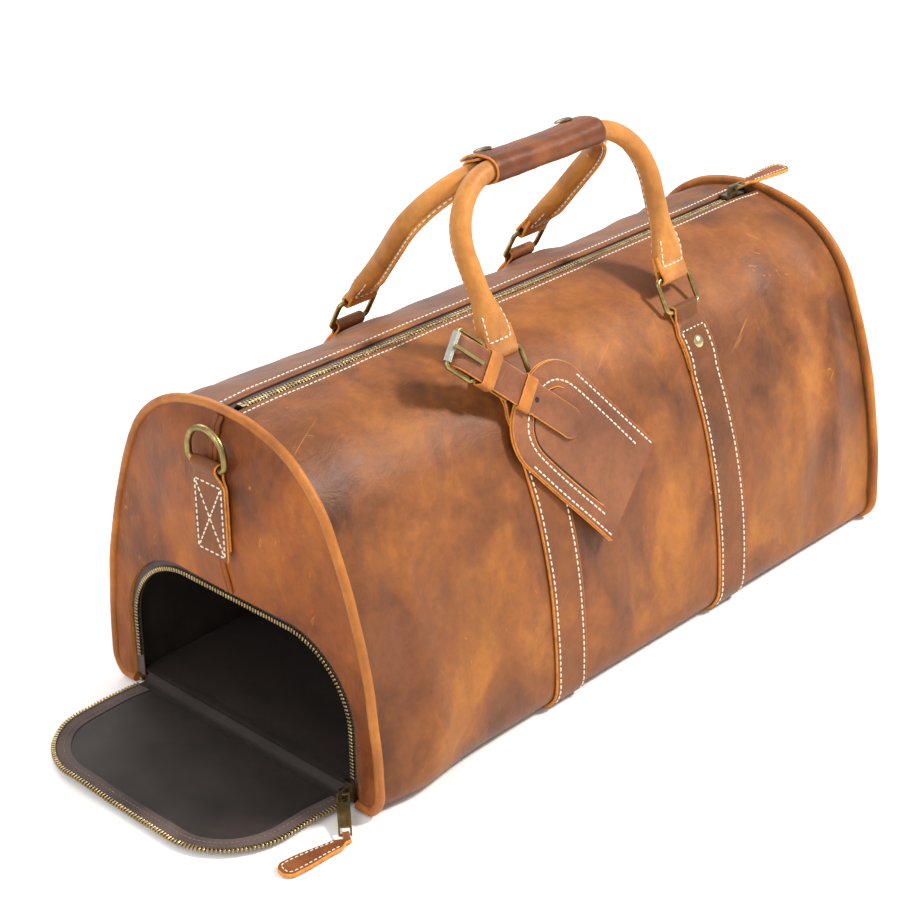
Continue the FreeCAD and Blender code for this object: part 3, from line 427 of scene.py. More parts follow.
def leather(name, dark, mid, tan, light, seed=0.0, cloud=9.0, rough=(0.36, 0.62), scratch=0.5, contrast=1.0, gain=(1.0, 1.0, 1.0)):
    m, nt, bs, N, L = nodes_of(name)

    def lin(c):
        return tuple(a * g for a, g in zip(srgb(c)[:3], gain)) + (1.0,)
    tc = N.new("ShaderNodeTexCoord").outputs["Object"]
    vec = mapping(N, L, tc, loc=(seed * 1.7, seed * 0.9, seed * 2.3))
    big = noise_tex(N, L, vec, cloud, 3.0, 0.5, 0.9).outputs["Fac"]
    col = ramp(N, L, big, [(0.35, lin(dark)), (0.45, lin(mid)), (0.55, lin(tan)), (0.65, lin(light))], "EASE")
    med = noise_tex(N, L, mapping(N, L, vec, rot=(0.5, 0.3, 1.1), scale=(1.0, 1.0, 0.55)), cloud * 3.6, 5.0, 0.6, 0.6).outputs["Fac"]
    col2 = ramp(N, L, med, [(0.34, lin(dark)), (0.46, lin(mid)), (0.56, lin(tan)), (0.68, lin(light))], "EASE")
    col = mix(N, L, col, col2, 0.36)
    # handled, darker and pinker patches
    patch = noise_tex(N, L, mapping(N, L, tc, loc=(4.1 + seed, 1.2, 7.7)), cloud * 0.72, 2.0, 0.5, 0.3).outputs["Fac"]
    pf = ramp(N, L, patch, [(0.50, (0, 0, 0, 1)), (0.66, (1, 1, 1, 1))])
    col = mix(N, L, col, lin(tuple(int(0.80 * a + 0.20 * b) for a, b in zip(mid, (170, 110, 90)))), math_node(N, L, "MULTIPLY", pf, 0.55 * contrast))
    # fine mottling
    fine = noise_tex(N, L, vec, 160.0, 6.0, 0.7, 0.2).outputs["Fac"]
    ff = ramp(N, L, fine, [(0.32, (0.80, 0.80, 0.80, 1)), (0.68, (1.14, 1.14, 1.14, 1))])
    col = mix(N, L, col, ff, 0.75, "MULTIPLY")
    # long light scratches, in two directions
    lines = []
    for k, (rx, rz) in enumerate(((0.4, 0.9), (-0.6, -0.5))):
        sv = mapping(N, L, mapping(N, L, tc, rot=(rx, 0.3, rz)), loc=(k * 3.0 + seed, 0, 0), scale=(6.0, 190.0, 60.0))
        s_ = noise_tex(N, L, sv, 1.0, 2.0, 0.5, 1.2).outputs["Fac"]
        lines.append(ramp(N, L, s_, [(0.70, (0, 0, 0, 1)), (0.735, (1, 1, 1, 1)), (0.77, (0, 0, 0, 1))]))
    gate = ramp(N, L, noise_tex(N, L, vec, 17.0, 2.0).outputs["Fac"], [(0.52, (0, 0, 0, 1)), (0.64, (1, 1, 1, 1))])
    sc = math_node(N, L, "MULTIPLY", math_node(N, L, "MAXIMUM", lines[0], lines[1]), gate)
    col = mix(N, L, col, lin(tuple(min(255, int(c * 1.10) + 12) for c in light)), math_node(N, L, "MULTIPLY", sc, scratch))
    # pin specks where the wax is rubbed off
    vor = N.new("ShaderNodeTexVoronoi")
    vor.inputs["Scale"].default_value = 260.0
    L.new(vec, vor.inputs["Vector"])
    sp = ramp(N, L, vor.outputs["Distance"], [(0.06, (1, 1, 1, 1)), (0.11, (0, 0, 0, 1))])
    spg = ramp(N, L, noise_tex(N, L, vec, 60.0, 2.0).outputs["Fac"], [(0.60, (0, 0, 0, 1)), (0.68, (1, 1, 1, 1))])
    spk = math_node(N, L, "MULTIPLY", sp, spg)
    col = mix(N, L, col, lin(tuple(min(255, c + 18) for c in light)), math_node(N, L, "MULTIPLY", spk, 0.5))
    L.new(col, bs.inputs["Base Color"])
    rg = ramp(N, L, big, [(0.30, (rough[0],) * 3 + (1,)), (0.70, (rough[1],) * 3 + (1,))])
    rg2 = mix(N, L, rg, ramp(N, L, fine, [(0.3, (0.42,) * 3 + (1,)), (0.7, (0.62,) * 3 + (1,))]), 0.35)
    L.new(rg2, bs.inputs["Roughness"])
    bs.inputs["Specular IOR Level"].default_value = 0.26
    bs.inputs["Sheen Weight"].default_value = 0.02
    bs.inputs["Sheen Roughness"].default_value = 0.5
    grain = N.new("ShaderNodeTexVoronoi")
    grain.feature = "SMOOTH_F1"
    grain.inputs["Scale"].default_value = 900.0
    L.new(mapping(N, L, vec, scale=(1.0, 1.0, 1.0)), grain.inputs["Vector"])
    crease = noise_tex(N, L, mapping(N, L, vec, scale=(1.0, 2.2, 1.0)), 48.0, 6.0, 0.62, 1.6).outputs["Fac"]
    pore = noise_tex(N, L, vec, 1500.0, 3.0, 0.6).outputs["Fac"]
    bump(N, L, bs, [(crease, 0.30, 0.0022), (fine, 0.25, 0.0006), (grain.outputs["Distance"], 0.20, 0.00022), (pore, 0.14, 0.00012)])
    return m


def raw_edge(name, a=(226, 150, 72), b=(186, 108, 44)):
    m, nt, bs, N, L = nodes_of(name)
    tc = N.new("ShaderNodeTexCoord").outputs["Object"]
    n1 = noise_tex(N, L, tc, 420.0, 5.0, 0.7).outputs["Fac"]
    n2 = noise_tex(N, L, tc, 60.0, 3.0).outputs["Fac"]
    col = ramp(N, L, n1, [(0.3, lin(b)), (0.7, lin(a))])
    col = mix(N, L, col, lin(tuple(int(x * 0.72) for x in b)), ramp(N, L, n2, [(0.55, (0, 0, 0, 1)), (0.75, (0.6, 0.6, 0.6, 1))]))
    L.new(col, bs.inputs["Base Color"])
    L.new(ramp(N, L, n1, [(0.2, (0.72,) * 3 + (1,)), (0.8, (0.92,) * 3 + (1,))]), bs.inputs["Roughness"])
    bs.inputs["Specular IOR Level"].default_value = 0.25
    bump(N, L, bs, [(n2, 0.4, 0.0006), (n1, 0.7, 0.0004)])
    return m


def thread(name, c=(240, 229, 208)):
    m, nt, bs, N, L = nodes_of(name)
    tc = N.new("ShaderNodeTexCoord").outputs["Object"]
    w = N.new("ShaderNodeTexWave")
    w.inputs["Scale"].default_value = 900.0
    w.inputs["Distortion"].default_value = 1.5
    L.new(mapping(N, L, tc, rot=(0.6, 0.6, 0.7)), w.inputs["Vector"])
    n = noise_tex(N, L, tc, 90.0, 3.0).outputs["Fac"]
    col = ramp(N, L, w.outputs["Fac"], [(0.0, lin(tuple(int(x * 0.86) for x in c))), (0.8, lin(c))])
    col = mix(N, L, col, lin((206, 172, 130)), ramp(N, L, n, [(0.55, (0, 0, 0, 1)), (0.75, (0.55, 0.55, 0.55, 1))]))
    L.new(col, bs.inputs["Base Color"])
    L.new(ramp(N, L, n, [(0, (0.62,) * 3 + (1,)), (1, (0.85,) * 3 + (1,))]), bs.inputs["Roughness"])
    bs.inputs["Sheen Weight"].default_value = 0.2
    bump(N, L, bs, [(w.outputs["Fac"], 0.5, 0.0002)])
    return m


def metal(name, base, dark, high, rough=(0.22, 0.48), worn=0.5, scale=70.0):
    m, nt, bs, N, L = nodes_of(name)
    tc = N.new("ShaderNodeTexCoord").outputs["Object"]
    n1 = noise_tex(N, L, tc, scale, 6.0, 0.65, 0.4).outputs["Fac"]
    n2 = noise_tex(N, L, mapping(N, L, tc, scale=(1, 1, 7)), scale * 6, 4.0, 0.7).outputs["Fac"]
    geo = N.new("ShaderNodeNewGeometry")
    edge = ramp(N, L, geo.outputs["Pointiness"], [(0.48, (0, 0, 0, 1)), (0.56, (1, 1, 1, 1))])
    col = ramp(N, L, n1, [(0.30, lin(dark)), (0.52, lin(base)), (0.72, lin(high))])
    col = mix(N, L, col, lin(dark), ramp(N, L, n2, [(0.55, (0, 0, 0, 1)), (0.75, (0.6, 0.6, 0.6, 1))]))
    col = mix(N, L, col, lin(high), math_node(N, L, "MULTIPLY", edge, worn))
    L.new(col, bs.inputs["Base Color"])
    bs.inputs["Metallic"].default_value = 1.0
    L.new(ramp(N, L, n2, [(0.25, (rough[0],) * 3 + (1,)), (0.75, (rough[1],) * 3 + (1,))]), bs.inputs["Roughness"])
    bump(N, L, bs, [(n1, 0.15, 0.0004), (n2, 0.18, 0.00012)])
    return m


def cloth(name, a, b, pitch=1400.0, herring=False, rough=0.85, sheen=0.15, spec=0.3):
    m, nt, bs, N, L = nodes_of(name)
    tc = N.new("ShaderNodeTexCoord").outputs["Object"]
    w1 = N.new("ShaderNodeTexWave")
    w1.inputs["Scale"].default_value = pitch
    w2 = N.new("ShaderNodeTexWave")
    w2.inputs["Scale"].default_value = pitch
    if herring:
        L.new(mapping(N, L, tc, rot=(0.9, 0.2, 0.7)), w1.inputs["Vector"])
        L.new(mapping(N, L, tc, rot=(-0.9, 0.2, -0.7)), w2.inputs["Vector"])
        w1.inputs["Distortion"].default_value = 0.6
        w2.inputs["Distortion"].default_value = 0.6
    else:
        w1.bands_direction = "X"
        w2.bands_direction = "Z"
        L.new(tc, w1.inputs["Vector"])
        L.new(mapping(N, L, tc, rot=(0.78, 0, 0)), w2.inputs["Vector"])
    h = math_node(N, L, "MAXIMUM", w1.outputs["Fac"], w2.outputs["Fac"])
    n = noise_tex(N, L, tc, 26.0, 4.0).outputs["Fac"]
    col = ramp(N, L, h, [(0.1, lin(a)), (0.9, lin(b))])
    col = mix(N, L, col, lin(tuple(int(x * 0.6) for x in a)), ramp(N, L, n, [(0.45, (0, 0, 0, 1)), (0.75, (0.7, 0.7, 0.7, 1))]))
    L.new(col, bs.inputs["Base Color"])
    L.new(ramp(N, L, n, [(0.2, (rough - 0.12,) * 3 + (1,)), (0.8, (rough,) * 3 + (1,))]), bs.inputs["Roughness"])
    bs.inputs["Specular IOR Level"].default_value = spec
    bs.inputs["Sheen Weight"].default_value = sheen
    bump(N, L, bs, [(n, 0.2, 0.002), (h, 0.5, 0.0002)])
    return m


M_BAG = leather("bag_leather", (98, 54, 30), (142, 82, 44), (178, 104, 48), (212, 132, 56), seed=0.0, gain=(0.53, 0.53, 0.50), scratch=0.8)
M_END = leather("end_leather", (108, 58, 28), (150, 86, 42), (184, 108, 48), (214, 134, 58), seed=2.4, cloud=10.0, gain=(0.54, 0.45, 0.32), scratch=0.75)
M_STRAP = leather("strap_leather", (118, 68, 40), (144, 84, 50), (160, 94, 56), (182, 112, 62), seed=5.2, cloud=12.0, contrast=0.7, gain=(0.53, 0.51, 0.34))
M_HANDLE = leather("handle_leather", (140, 82, 40), (172, 104, 48), (194, 120, 54), (212, 136, 62), seed=7.9, cloud=14.0, rough=(0.34, 0.52), contrast=0.6, gain=(0.87, 1.00, 1.05))
M_GRIP = leather("grip_leather", (96, 46, 20), (132, 72, 34), (158, 90, 44), (186, 110, 50), seed=9.3, cloud=14.0, rough=(0.28, 0.44), contrast=0.6, gain=(0.48, 0.42, 0.34))
M_TAG = leather("tag_leather", (126, 74, 46), (148, 90, 56), (164, 100, 62), (182, 114, 68), seed=11.8, cloud=12.0, rough=(0.40, 0.56), contrast=0.5, gain=(0.55, 0.56, 0.62))
M_PIPE = leather("piping_leather", (150, 88, 40), (180, 108, 48), (198, 122, 54), (212, 136, 62), seed=13.1, cloud=16.0, rough=(0.34, 0.5), contrast=0.6, gain=(0.70, 0.68, 0.60))
M_PULL = leather("pull_leather", (116, 66, 36), (138, 80, 44), (156, 94, 52), (178, 110, 58), seed=15.5, cloud=20.0, contrast=0.5, gain=(0.72, 0.70, 0.66))
M_INSIDE = leather("leather_flesh_side", (104, 66, 40), (128, 84, 52), (146, 98, 62), (160, 112, 74), seed=17.0, rough=(0.75, 0.9), scratch=0.1)
M_EDGE = raw_edge("raw_edge")
M_THREAD = thread("stitch_thread")
M_BRASS = metal("antique_brass", (128, 108, 62), (66, 54, 30), (196, 176, 122))
M_BRASS_L = metal("pale_brass", (176, 160, 118), (116, 98, 60), (226, 214, 178), rough=(0.24, 0.4))
M_DARKMETAL = metal("dark_brass", (88, 74, 56), (40, 34, 28), (160, 146, 118), rough=(0.25, 0.45))
M_NICKEL = metal("worn_nickel", (176, 170, 158), (110, 100, 84), (232, 230, 224), rough=(0.16, 0.34))
M_TEETH = metal("zip_teeth_brass", (118, 96, 64), (46, 36, 26), (186, 164, 122), rough=(0.25, 0.5))
M_TAPE = cloth("zip_tape", (58, 44, 40), (92, 74, 70), pitch=520.0, herring=True)
M_LINING = cloth("lining_cloth", (26, 19, 16), (44, 34, 29), pitch=900.0, rough=0.55, sheen=0.03, spec=0.35)
M_BOARD = cloth("fibre_board", (50, 44, 38), (74, 66, 56), pitch=300.0, rough=0.9, sheen=0.0)
M_ROPE = cloth("rope_core", (150, 138, 112), (196, 184, 156), pitch=420.0, rough=0.9, sheen=0.3)

# ------------------------------------------------------- the bag's section
RAD = [145.4, 85.7, 0.0, 19.8]
ANG = [0.0, math.radians(14.7), math.radians(66.3), math.radians(90.1), math.pi]
_used = RAD[0] * (math.cos(ANG[0]) - math.cos(ANG[1])) + RAD[1] * (math.cos(ANG[1]) - math.cos(ANG[2])) + RAD[3] * (math.cos(ANG[3]) - math.cos(ANG[4]))
RAD[2] = (246.0 - _used) / (math.cos(ANG[2]) - math.cos(ANG[3]))
_S, _Y, _Z, _A = [0.0], [0.0], [246.0], [0.0]
for r_, a0, a1 in zip(RAD, ANG[:-1], ANG[1:]):
    nn_ = 160
    y0, z0 = _Y[-1], _Z[-1]
    s0_ = _S[-1]
    for k in range(1, nn_ + 1):
        a = a0 + (a1 - a0) * k / nn_
        _Y.append(y0 + r_ * (math.sin(a) - math.sin(a0)))
        _Z.append(z0 - r_ * (math.cos(a0) - math.cos(a)))
        _S.append(s0_ + r_ * (a - a0))
        _A.append(a)
S_BASE = _S[-1]
Y_BASE = _Y[-1]
S_MID = S_BASE + Y_BASE
_S.append(S_BASE + 400)
_Y.append(Y_BASE - 400)
_Z.append(0.0)
_A.append(math.pi)
_S, _Y, _Z, _A = (np.array(q) for q in (_S, _Y, _Z, _A))
S_CORNER = S_BASE - RAD[3] * (ANG[4] - ANG[3])


def shell_f(x, s, side):
    """How far the soft shell stands off its plain section, in mm."""
    x, s = np.broadcast_arrays(np.asarray(x, float), np.asarray(s, float))
    ax = np.abs(x)
    pin = smooth(0, 34, 266 - ax)
    wall = 1 - smooth(S_CORNER - 6, S_CORNER + 16, s)
    seed = 5 if side < 0 else 31
    f = 2.3 * vnoise(x / 105, s / 92, 0.3, seed) + 0.8 * vnoise(x / 41, s / 55, 1.7, seed + 3) + 0.35 * vnoise(x / 19, s / 27, 4.1, seed + 9)
    # folds that run down the side near the plain end, and a few at the other
    g = smooth(120, 235, x) * smooth(30, 110, s)
    f = f + 1.5 * g * np.sin(x / 7.4 + 1.7 * vnoise(x / 60, s / 70, 2.2, seed + 5) + s * 0.012) * smooth(0, 40, 262 - x)
    g2 = smooth(-170, -245, x) * smooth(60, 150, s)
    f = f + 1.0 * g2 * np.sin(x / 9.0 + 2.0 * vnoise(x / 50, s / 60, 5.2, seed + 6))
    f = f * pin * wall
    f = f - 2.6 * (1 - pin) * wall
    # fullness between the ends, low at the front of the open end
    if side < 0:
        f = f + 9.0 * np.exp(-((x + 228) / 34) ** 2 - ((s - 268) / 42) ** 2) * smooth(-2, 18, x + 268) 
        f = f + 2.0 * np.exp(-((x) / 70) ** 2 - ((s - 170) / 80) ** 2)
    else:
        f = f - 5.5 * smooth(262, 190, x) * smooth(262, 215, -x) * np.exp(-((s - 48) / 36) ** 2)
        f = f + 3.0 * np.exp(-((x - 150) / 70) ** 2 - ((s - 220) / 60) ** 2)
    # the straps press in; a groove runs along the row of stitches by the mouth
    f = f * (1 - 0.85 * np.exp(-((ax - 88) / 24) ** 4 - ((s - 84) / 18) ** 4))
    f = f - 0.9 * np.exp(-((ax - 88) / 17.5) ** 6) * smooth(80, 100, s) * wall
    f = f - 0.35 * np.exp(-((s - 11.2) / 1.2) ** 2)
    f = f * smooth(2, 26, s) + (1 - smooth(2, 26, s)) * 0.2 * f
    # underside: it lies flat on the straps
    base = smooth(S_BASE - 12, S_BASE + 6, s)
    under = -0.8 - 1.6 * np.exp(-((ax - 88) / 26) ** 4)
    return f * (1 - base) + under * base


def surf(x, s, side, off=0.0, f=None):
    """Point and outward normal of the shell at x along the bag and s down the section."""
    x, s = np.broadcast_arrays(np.asarray(x, float), np.asarray(s, float))
    if f is None:
        f = shell_f(x, s, side)
    a = np.interp(s, _S, _A)
    y = np.interp(s, _S, _Y)
    z = np.interp(s, _S, _Z)
    d = f + off
    zz = z + np.cos(a) * d
    zz = np.where(s > S_CORNER - 20, np.maximum(zz, 0.25 + np.maximum(-np.asarray(off, float), 0) * 0.98), zz)
    P = np.stack([x, side * (y + np.sin(a) * d), zz], -1)
    n = np.stack([np.zeros_like(x), side * np.sin(a), np.cos(a)], -1)
    return P, n


# ------------------------------------------------------------ shell panels
def shell_panel(name, side, s_end, node):
    xs = np.concatenate([np.linspace(-265.8, -230, 14)[:-1], np.linspace(-230, 230, 116), np.linspace(230, 265.8, 14)[1:]])
    s0 = 7.6
    ss = np.concatenate([np.linspace(s0, 24, 14)[:-1], np.linspace(24, S_CORNER - 10, 70)[:-1], np.linspace(S_CORNER - 10, S_BASE + 6, 16)[:-1], np.linspace(S_BASE + 6, s_end, 26)])
    X, Sg = np.meshgrid(xs, ss, indexing="ij")
    f = shell_f(X, Sg, side)
    Po, _ = surf(X, Sg, side, 0.0, f)
    Pi, _ = surf(X, Sg, side, -3.3, f)
    lip = []
    for dy, off in ((-0.9, -2.7), (-1.3, -1.65), (-0.9, -0.6)):
        p, _ = surf(xs, np.full(len(xs), s0) + dy, side, off, shell_f(xs, np.full(len(xs), s0), side))
        lip.append(p)
    n = len(ss)
    K = 2 * n + 3
    V_ = np.zeros((len(xs), K, 3))
    V_[:, :n] = Po
    V_[:, n:2 * n] = Pi[:, ::-1]
    for j in range(3):
        V_[:, 2 * n + j] = lip[j]
    F, M = [], []
    for i in range(len(xs) - 1):
        a, b = i * K, (i + 1) * K
        for k in range(K):
            k2 = (k + 1) % K
            q = (a + k, a + k2, b + k2, b + k)
            F.append(q if side > 0 else q[::-1])
            M.append(1 if n <= k < 2 * n - 1 else 0)
    for i, flip in ((0, side > 0), (len(xs) - 1, side < 0)):
        a = i * K
        for k in range(n - 1):
            q = (a + k, a + 2 * n - 1 - k, a + 2 * n - 2 - k, a + k + 1)
            F.append(q[::-1] if flip else q)
            M.append(0)
        q = (a, a + 2 * n + 2, a + 2 * n + 1, a + 2 * n, a + 2 * n - 1)
        F.append(q[::-1] if flip else q)
        M.append(0)
    return make(name, V_.reshape(-1, 3), F, [M_BAG, M_INSIDE], M, body="bag", slot="bag_leather", replaces=(node,))


shell_panel("front_leather_panel", -1, S_MID + 39.2, "front_panel")
shell_panel("rear_leather_panel", 1, S_MID - 40.6, "rear_panel")


def grid_solid(bag, Po, Pi, m_out=0, m_in=1, m_edge=0, closed_u=False, flip=False):
    """Thin slab between two grids of points (nu, nv, 3): outer skin, inner skin and the rim."""
    nu, nv = Po.shape[:2]
    V_ = np.concatenate([Po.reshape(-1, 3), Pi.reshape(-1, 3)])
    o = nu * nv
    F, M = [], []

    def q(a, b, c, d, m):
        F.append((d, c, b, a) if flip else (a, b, c, d))
        M.append(m)
    for i in range(nu if closed_u else nu - 1):
        i2 = (i + 1) % nu
        for j in range(nv - 1):
            a, b, c, d = i * nv + j, i2 * nv + j, i2 * nv + j + 1, i * nv + j + 1
            q(a, b, c, d, m_out)
            q(o + d, o + c, o + b, o + a, m_in)
        for j in (0, nv - 1):
            a, b = i * nv + j, i2 * nv + j
            if j == 0:
                q(o + a, o + b, b, a, m_edge)
            else:
                q(a, b, o + b, o + a, m_edge)
    if not closed_u:
        for j in range(nv - 1):
            q(j, j + 1, o + j + 1, o + j, m_edge)
            a = (nu - 1) * nv
            q(o + a + j, o + a + j + 1, a + j + 1, a + j, m_edge)
    bag.add(V_, F, M)


# stitches beside the mouth, and the fabric behind the panels
THREAD_BAG = Bag()
for side in (-1, 1):
    xs = np.linspace(-262, 262, 400)
    sa = np.full(400, 11.2)
    P, n = surf(xs, sa, side, 0.05)
    stitch_row(THREAD_BAG, P, n, pitch=3.7, length=3.0, rad=0.5, lift=0.1, dip=0.45)

lining = Bag()
tape_f, tape_r = Bag(), Bag()
for side, tb in ((-1, tape_f), (1, tape_r)):
    X, Sg = np.meshgrid(np.linspace(-264.6, 264.6, 110), np.linspace(20.2, S_MID - (1 if side < 0 else -1) * 0.0, 70), indexing="ij")
    f = shell_f(X, Sg, side)
    grid_solid(lining, surf(X, Sg, side, -3.9, f)[0], surf(X, Sg, side, -4.7, f)[0], 0, 0, 0, flip=side < 0)
    X, Sg = np.meshgrid(np.linspace(-262.8, 262.8, 110), np.linspace(3.2, 18.5, 12), indexing="ij")
    f = shell_f(X, Sg, side)
    grid_solid(tb, surf(X, Sg, side, -3.5, f)[0], surf(X, Sg, side, -4.2, f)[0], 0, 0, 0, flip=side < 0)
lining.done("main_lining_cloth", [M_LINING], body="bag", slot="lining_fabric", replaces=("main_lining",))
tape_f.done("main_tape_front_cloth", [M_TAPE], body="bag", slot="zip_tape", replaces=("main_tape_front",))
tape_r.done("main_tape_rear_cloth", [M_TAPE], body="bag", slot="zip_tape", replaces=("main_tape_rear",))

for side, nm in ((-1, "front"), (1, "rear")):
    teeth = Bag()
    k = 0
    x = -250.2 + (1.3 if side > 0 else 0)
    while x < 234.0:
        teeth.add(*rounded_box((x, side * 1.35, 242.0), 1.5, 3.4, 2.7, 0.35))
        x += 2.6
    teeth.done("main_teeth_%s_row" % nm, [M_TEETH], body="bag", slot="zip_brass", replaces=("main_teeth_" + nm,), sharp=30)


# ------------------------------------------------------------- end panels
def dome(y, z):
    return 9.4 * np.exp(-(((y / 76.0) ** 2 + ((z - 183.0) / 57.0) ** 2) ** 1.5))


def arch_loop(o, n, z0, closed=False):
    """Points (y, z) and outward normals along the opening's outline, from the front leg over the top to the rear leg."""
    half, high, r = 104.0 + o, 108.0 + o, 55.0 + o
    pts, nor = [], []
    for z in np.linspace(z0, high - r, 60, endpoint=False):
        pts.append((-half, z)); nor.append((-1, 0))
    for a in np.linspace(math.pi, math.pi / 2, 120):
        pts.append((-half + r + r * math.cos(a), high - r + r * math.sin(a))); nor.append((math.cos(a), math.sin(a)))
    for y in np.linspace(-half + r, half - r, 60)[1:-1]:
        pts.append((y, high)); nor.append((0, 1))
    for a in np.linspace(math.pi / 2, 0, 120):
        pts.append((half - r + r * math.cos(a), high - r + r * math.sin(a))); nor.append((math.cos(a), math.sin(a)))
    for z in np.linspace(high - r, z0, 60)[1:]:
        pts.append((half, z)); nor.append((1, 0))
    P = np.array(pts)
    N = np.array(nor, float)
    d = np.linalg.norm(np.diff(P, axis=0), axis=1)
    L = np.concatenate([[0], np.cumsum(d)])
    t = np.linspace(0, L[-1], n)
    P = np.stack([np.interp(t, L, P[:, k]) for k in range(2)], 1)
    N = unit(np.stack([np.interp(t, L, N[:, k]) for k in range(2)], 1))
    return P, N


def section_loop(off, n, s_end):
    """(y, z) along the section from the front base corner over the crown to the rear one."""
    s = np.linspace(-s_end, s_end, n)
    side = np.where(s < 0, -1, 1)
    a = np.interp(np.abs(s), _S, _A)
    y = np.interp(np.abs(s), _S, _Y)
    z = np.interp(np.abs(s), _S, _Z)
    return np.stack([side * (y + np.sin(a) * off), z + np.cos(a) * off], 1), s


NU = 220
sec, _s = section_loop(-1.4, NU, S_BASE - 8.0)
arc, arcn = arch_loop(8.0, NU, 2.9)
# match the two loops by direction from a point inside both
c0 = np.array([0.0, 40.0])
ang_s = np.unwrap(np.arctan2(*(sec - c0).T))
ang_a = np.unwrap(np.arctan2(*(arc - c0).T))
w_ = 0.72
frac = np.linspace(0, 1, NU)
fs = (ang_s - ang_s[0]) / (ang_s[-1] - ang_s[0])
fa = (ang_a - ang_a[0]) / (ang_a[-1] - ang_a[0])
arc = np.stack([np.interp(fs, fa, arc[:, k]) for k in range(2)], 1)
rows = np.linspace(0, 1, 34)
YZ = sec[:, None, :] * (1 - rows)[None, :, None] + arc[:, None, :] * rows[None, :, None]
bulge = dome(YZ[..., 0], YZ[..., 1]) * smooth(0, 0.12, rows)[None, :]
wr = (0.8 * vnoise(YZ[..., 0] / 38, YZ[..., 1] / 38, 3.3, 71) + 0.35 * vnoise(YZ[..., 0] / 13, YZ[..., 1] / 15, 1.3, 72)) * smooth(0, 0.15, rows)[None, :] * smooth(1.0, 0.8, rows)[None, :]
legw = smooth(110, 40, YZ[..., 1]) * np.sin(rows * math.pi)[None, :]
wr = wr + 1.6 * legw * np.sin(YZ[..., 1] / 8.5 + 1.2 * vnoise(YZ[..., 1] / 20, 0.5, 0.2, 75)) * 0.55
seam = 0.0
xo = -269.8 - bulge - wr - seam
Po = np.stack([xo, YZ[..., 0], np.maximum(YZ[..., 1], 1.2)], -1)
Pi = Po + np.array([3.2, 0, 0])
endp = Bag()
grid_solid(endp, Po, Pi, 0, 1, 2, flip=True)
endp.done("shoe_end_leather", [M_END, M_INSIDE, M_EDGE], body="bag", slot="bag_leather", replaces=("shoe_end_panel",))
END_ROWS = Po

NP = 260
s_full = np.linspace(0, 1, NP, endpoint=False)
sec2, _ = section_loop(-1.4, 220, S_BASE - 1)
base2 = np.stack([np.linspace(sec2[-1, 0], sec2[0, 0], 42)[1:-1], np.full(40, 2.2)], 1)
loop2 = np.concatenate([sec2, base2])
loop2[:, 1] = np.maximum(loop2[:, 1], 2.2)
rows2 = np.concatenate([np.linspace(0, 0.12, 5)[:-1], np.linspace(0.12, 0.985, 30)])
cpt = np.array([0.0, 150.0])
YZ = loop2[:, None, :] * (1 - rows2)[None, :, None] + cpt * rows2[None, :, None]
wr = (1.2 * vnoise(YZ[..., 0] / 45, YZ[..., 1] / 45, 3.3, 81) + 0.35 * vnoise(YZ[..., 0] / 13, YZ[..., 1] / 15, 1.3, 82)) * smooth(0, 0.2, rows2)[None, :]
belly = 2.2 * np.exp(-((YZ[..., 0] / 70) ** 2 + ((YZ[..., 1] - 95) / 60) ** 2)) * smooth(0, 0.2, rows2)[None, :]
xo = 269.8 + dome(YZ[..., 0], YZ[..., 1]) * smooth(0, 0.12, rows2)[None, :] + wr + belly
Po = np.stack([xo, YZ[..., 0], YZ[..., 1]], -1)
plain = Bag()
grid_solid(plain, Po, Po - np.array([3.2, 0, 0]), 0, 1, 0, closed_u=True)
n_loop = len(loop2)
nv = len(rows2)
plain.f.append(tuple(i * nv + nv - 1 for i in range(n_loop))[::-1])
plain.m.append(0)
plain.f.append(tuple(n_loop * nv + i * nv + nv - 1 for i in range(n_loop)))
plain.m.append(1)
plain.done("plain_end_leather", [M_END, M_INSIDE], body="bag", slot="bag_leather", replaces=("plain_end_panel",))

for sign, nm in ((-1, "shoe_end"), (1, "plain_end")):
    if sign < 0:
        loop, _ = section_loop(0.6, 420, S_BASE + Y_BASE - 111.0 if Y_BASE > 111 else S_BASE - 0.5)
    else:
        a, _ = section_loop(0.6, 340, S_BASE)
        b = np.stack([np.linspace(a[-1, 0], a[0, 0], 82)[1:-1], np.full(80, a[-1, 1])], 1)
        loop = np.concatenate([a, b])
    loop[:, 1] = np.maximum(loop[:, 1], 3.3)
    t_ = np.arange(len(loop))
    loop = loop + 0.35 * np.stack([vnoise(t_ / 14.0, 1, 0, 90), np.maximum(vnoise(t_ / 14.0, 2, 0, 91), 0)], 1)
    P = np.stack([np.full(len(loop), sign * 268.9) + 0.4 * vnoise(t_ / 17.0, 3, 0, 92), loop[:, 0], loop[:, 1]], 1)
    pb = Bag()
    V_, F = tube(P, 3.2, 14, closed=sign > 0)
    pb.add(V_, F)
    pb.done("piping_%s_roll" % nm, [M_PIPE], body="bag", slot="trim_leather", replaces=("piping_" + nm,))

# --------------------------------------------------------- shoe opening
arcS, nS = arch_loop(10.6, 300, 4.0)
P = np.stack([np.full(300, -270.0) - dome(arcS[:, 0], arcS[:, 1]) - 0.1, arcS[:, 0], arcS[:, 1]], 1)
dd = np.abs(END_ROWS[None, :, :, 1] - arcS[:, None, None, 0]) + np.abs(END_ROWS[None, :, :, 2] - arcS[:, None, None, 1])
idx = dd.reshape(300, -1).argmin(1)
P[:, 0] = END_ROWS.reshape(-1, 3)[idx, 0] - 0.1
P[:, 0] = np.convolve(np.pad(P[:, 0], 4, mode="edge"), np.ones(9) / 9, "valid")
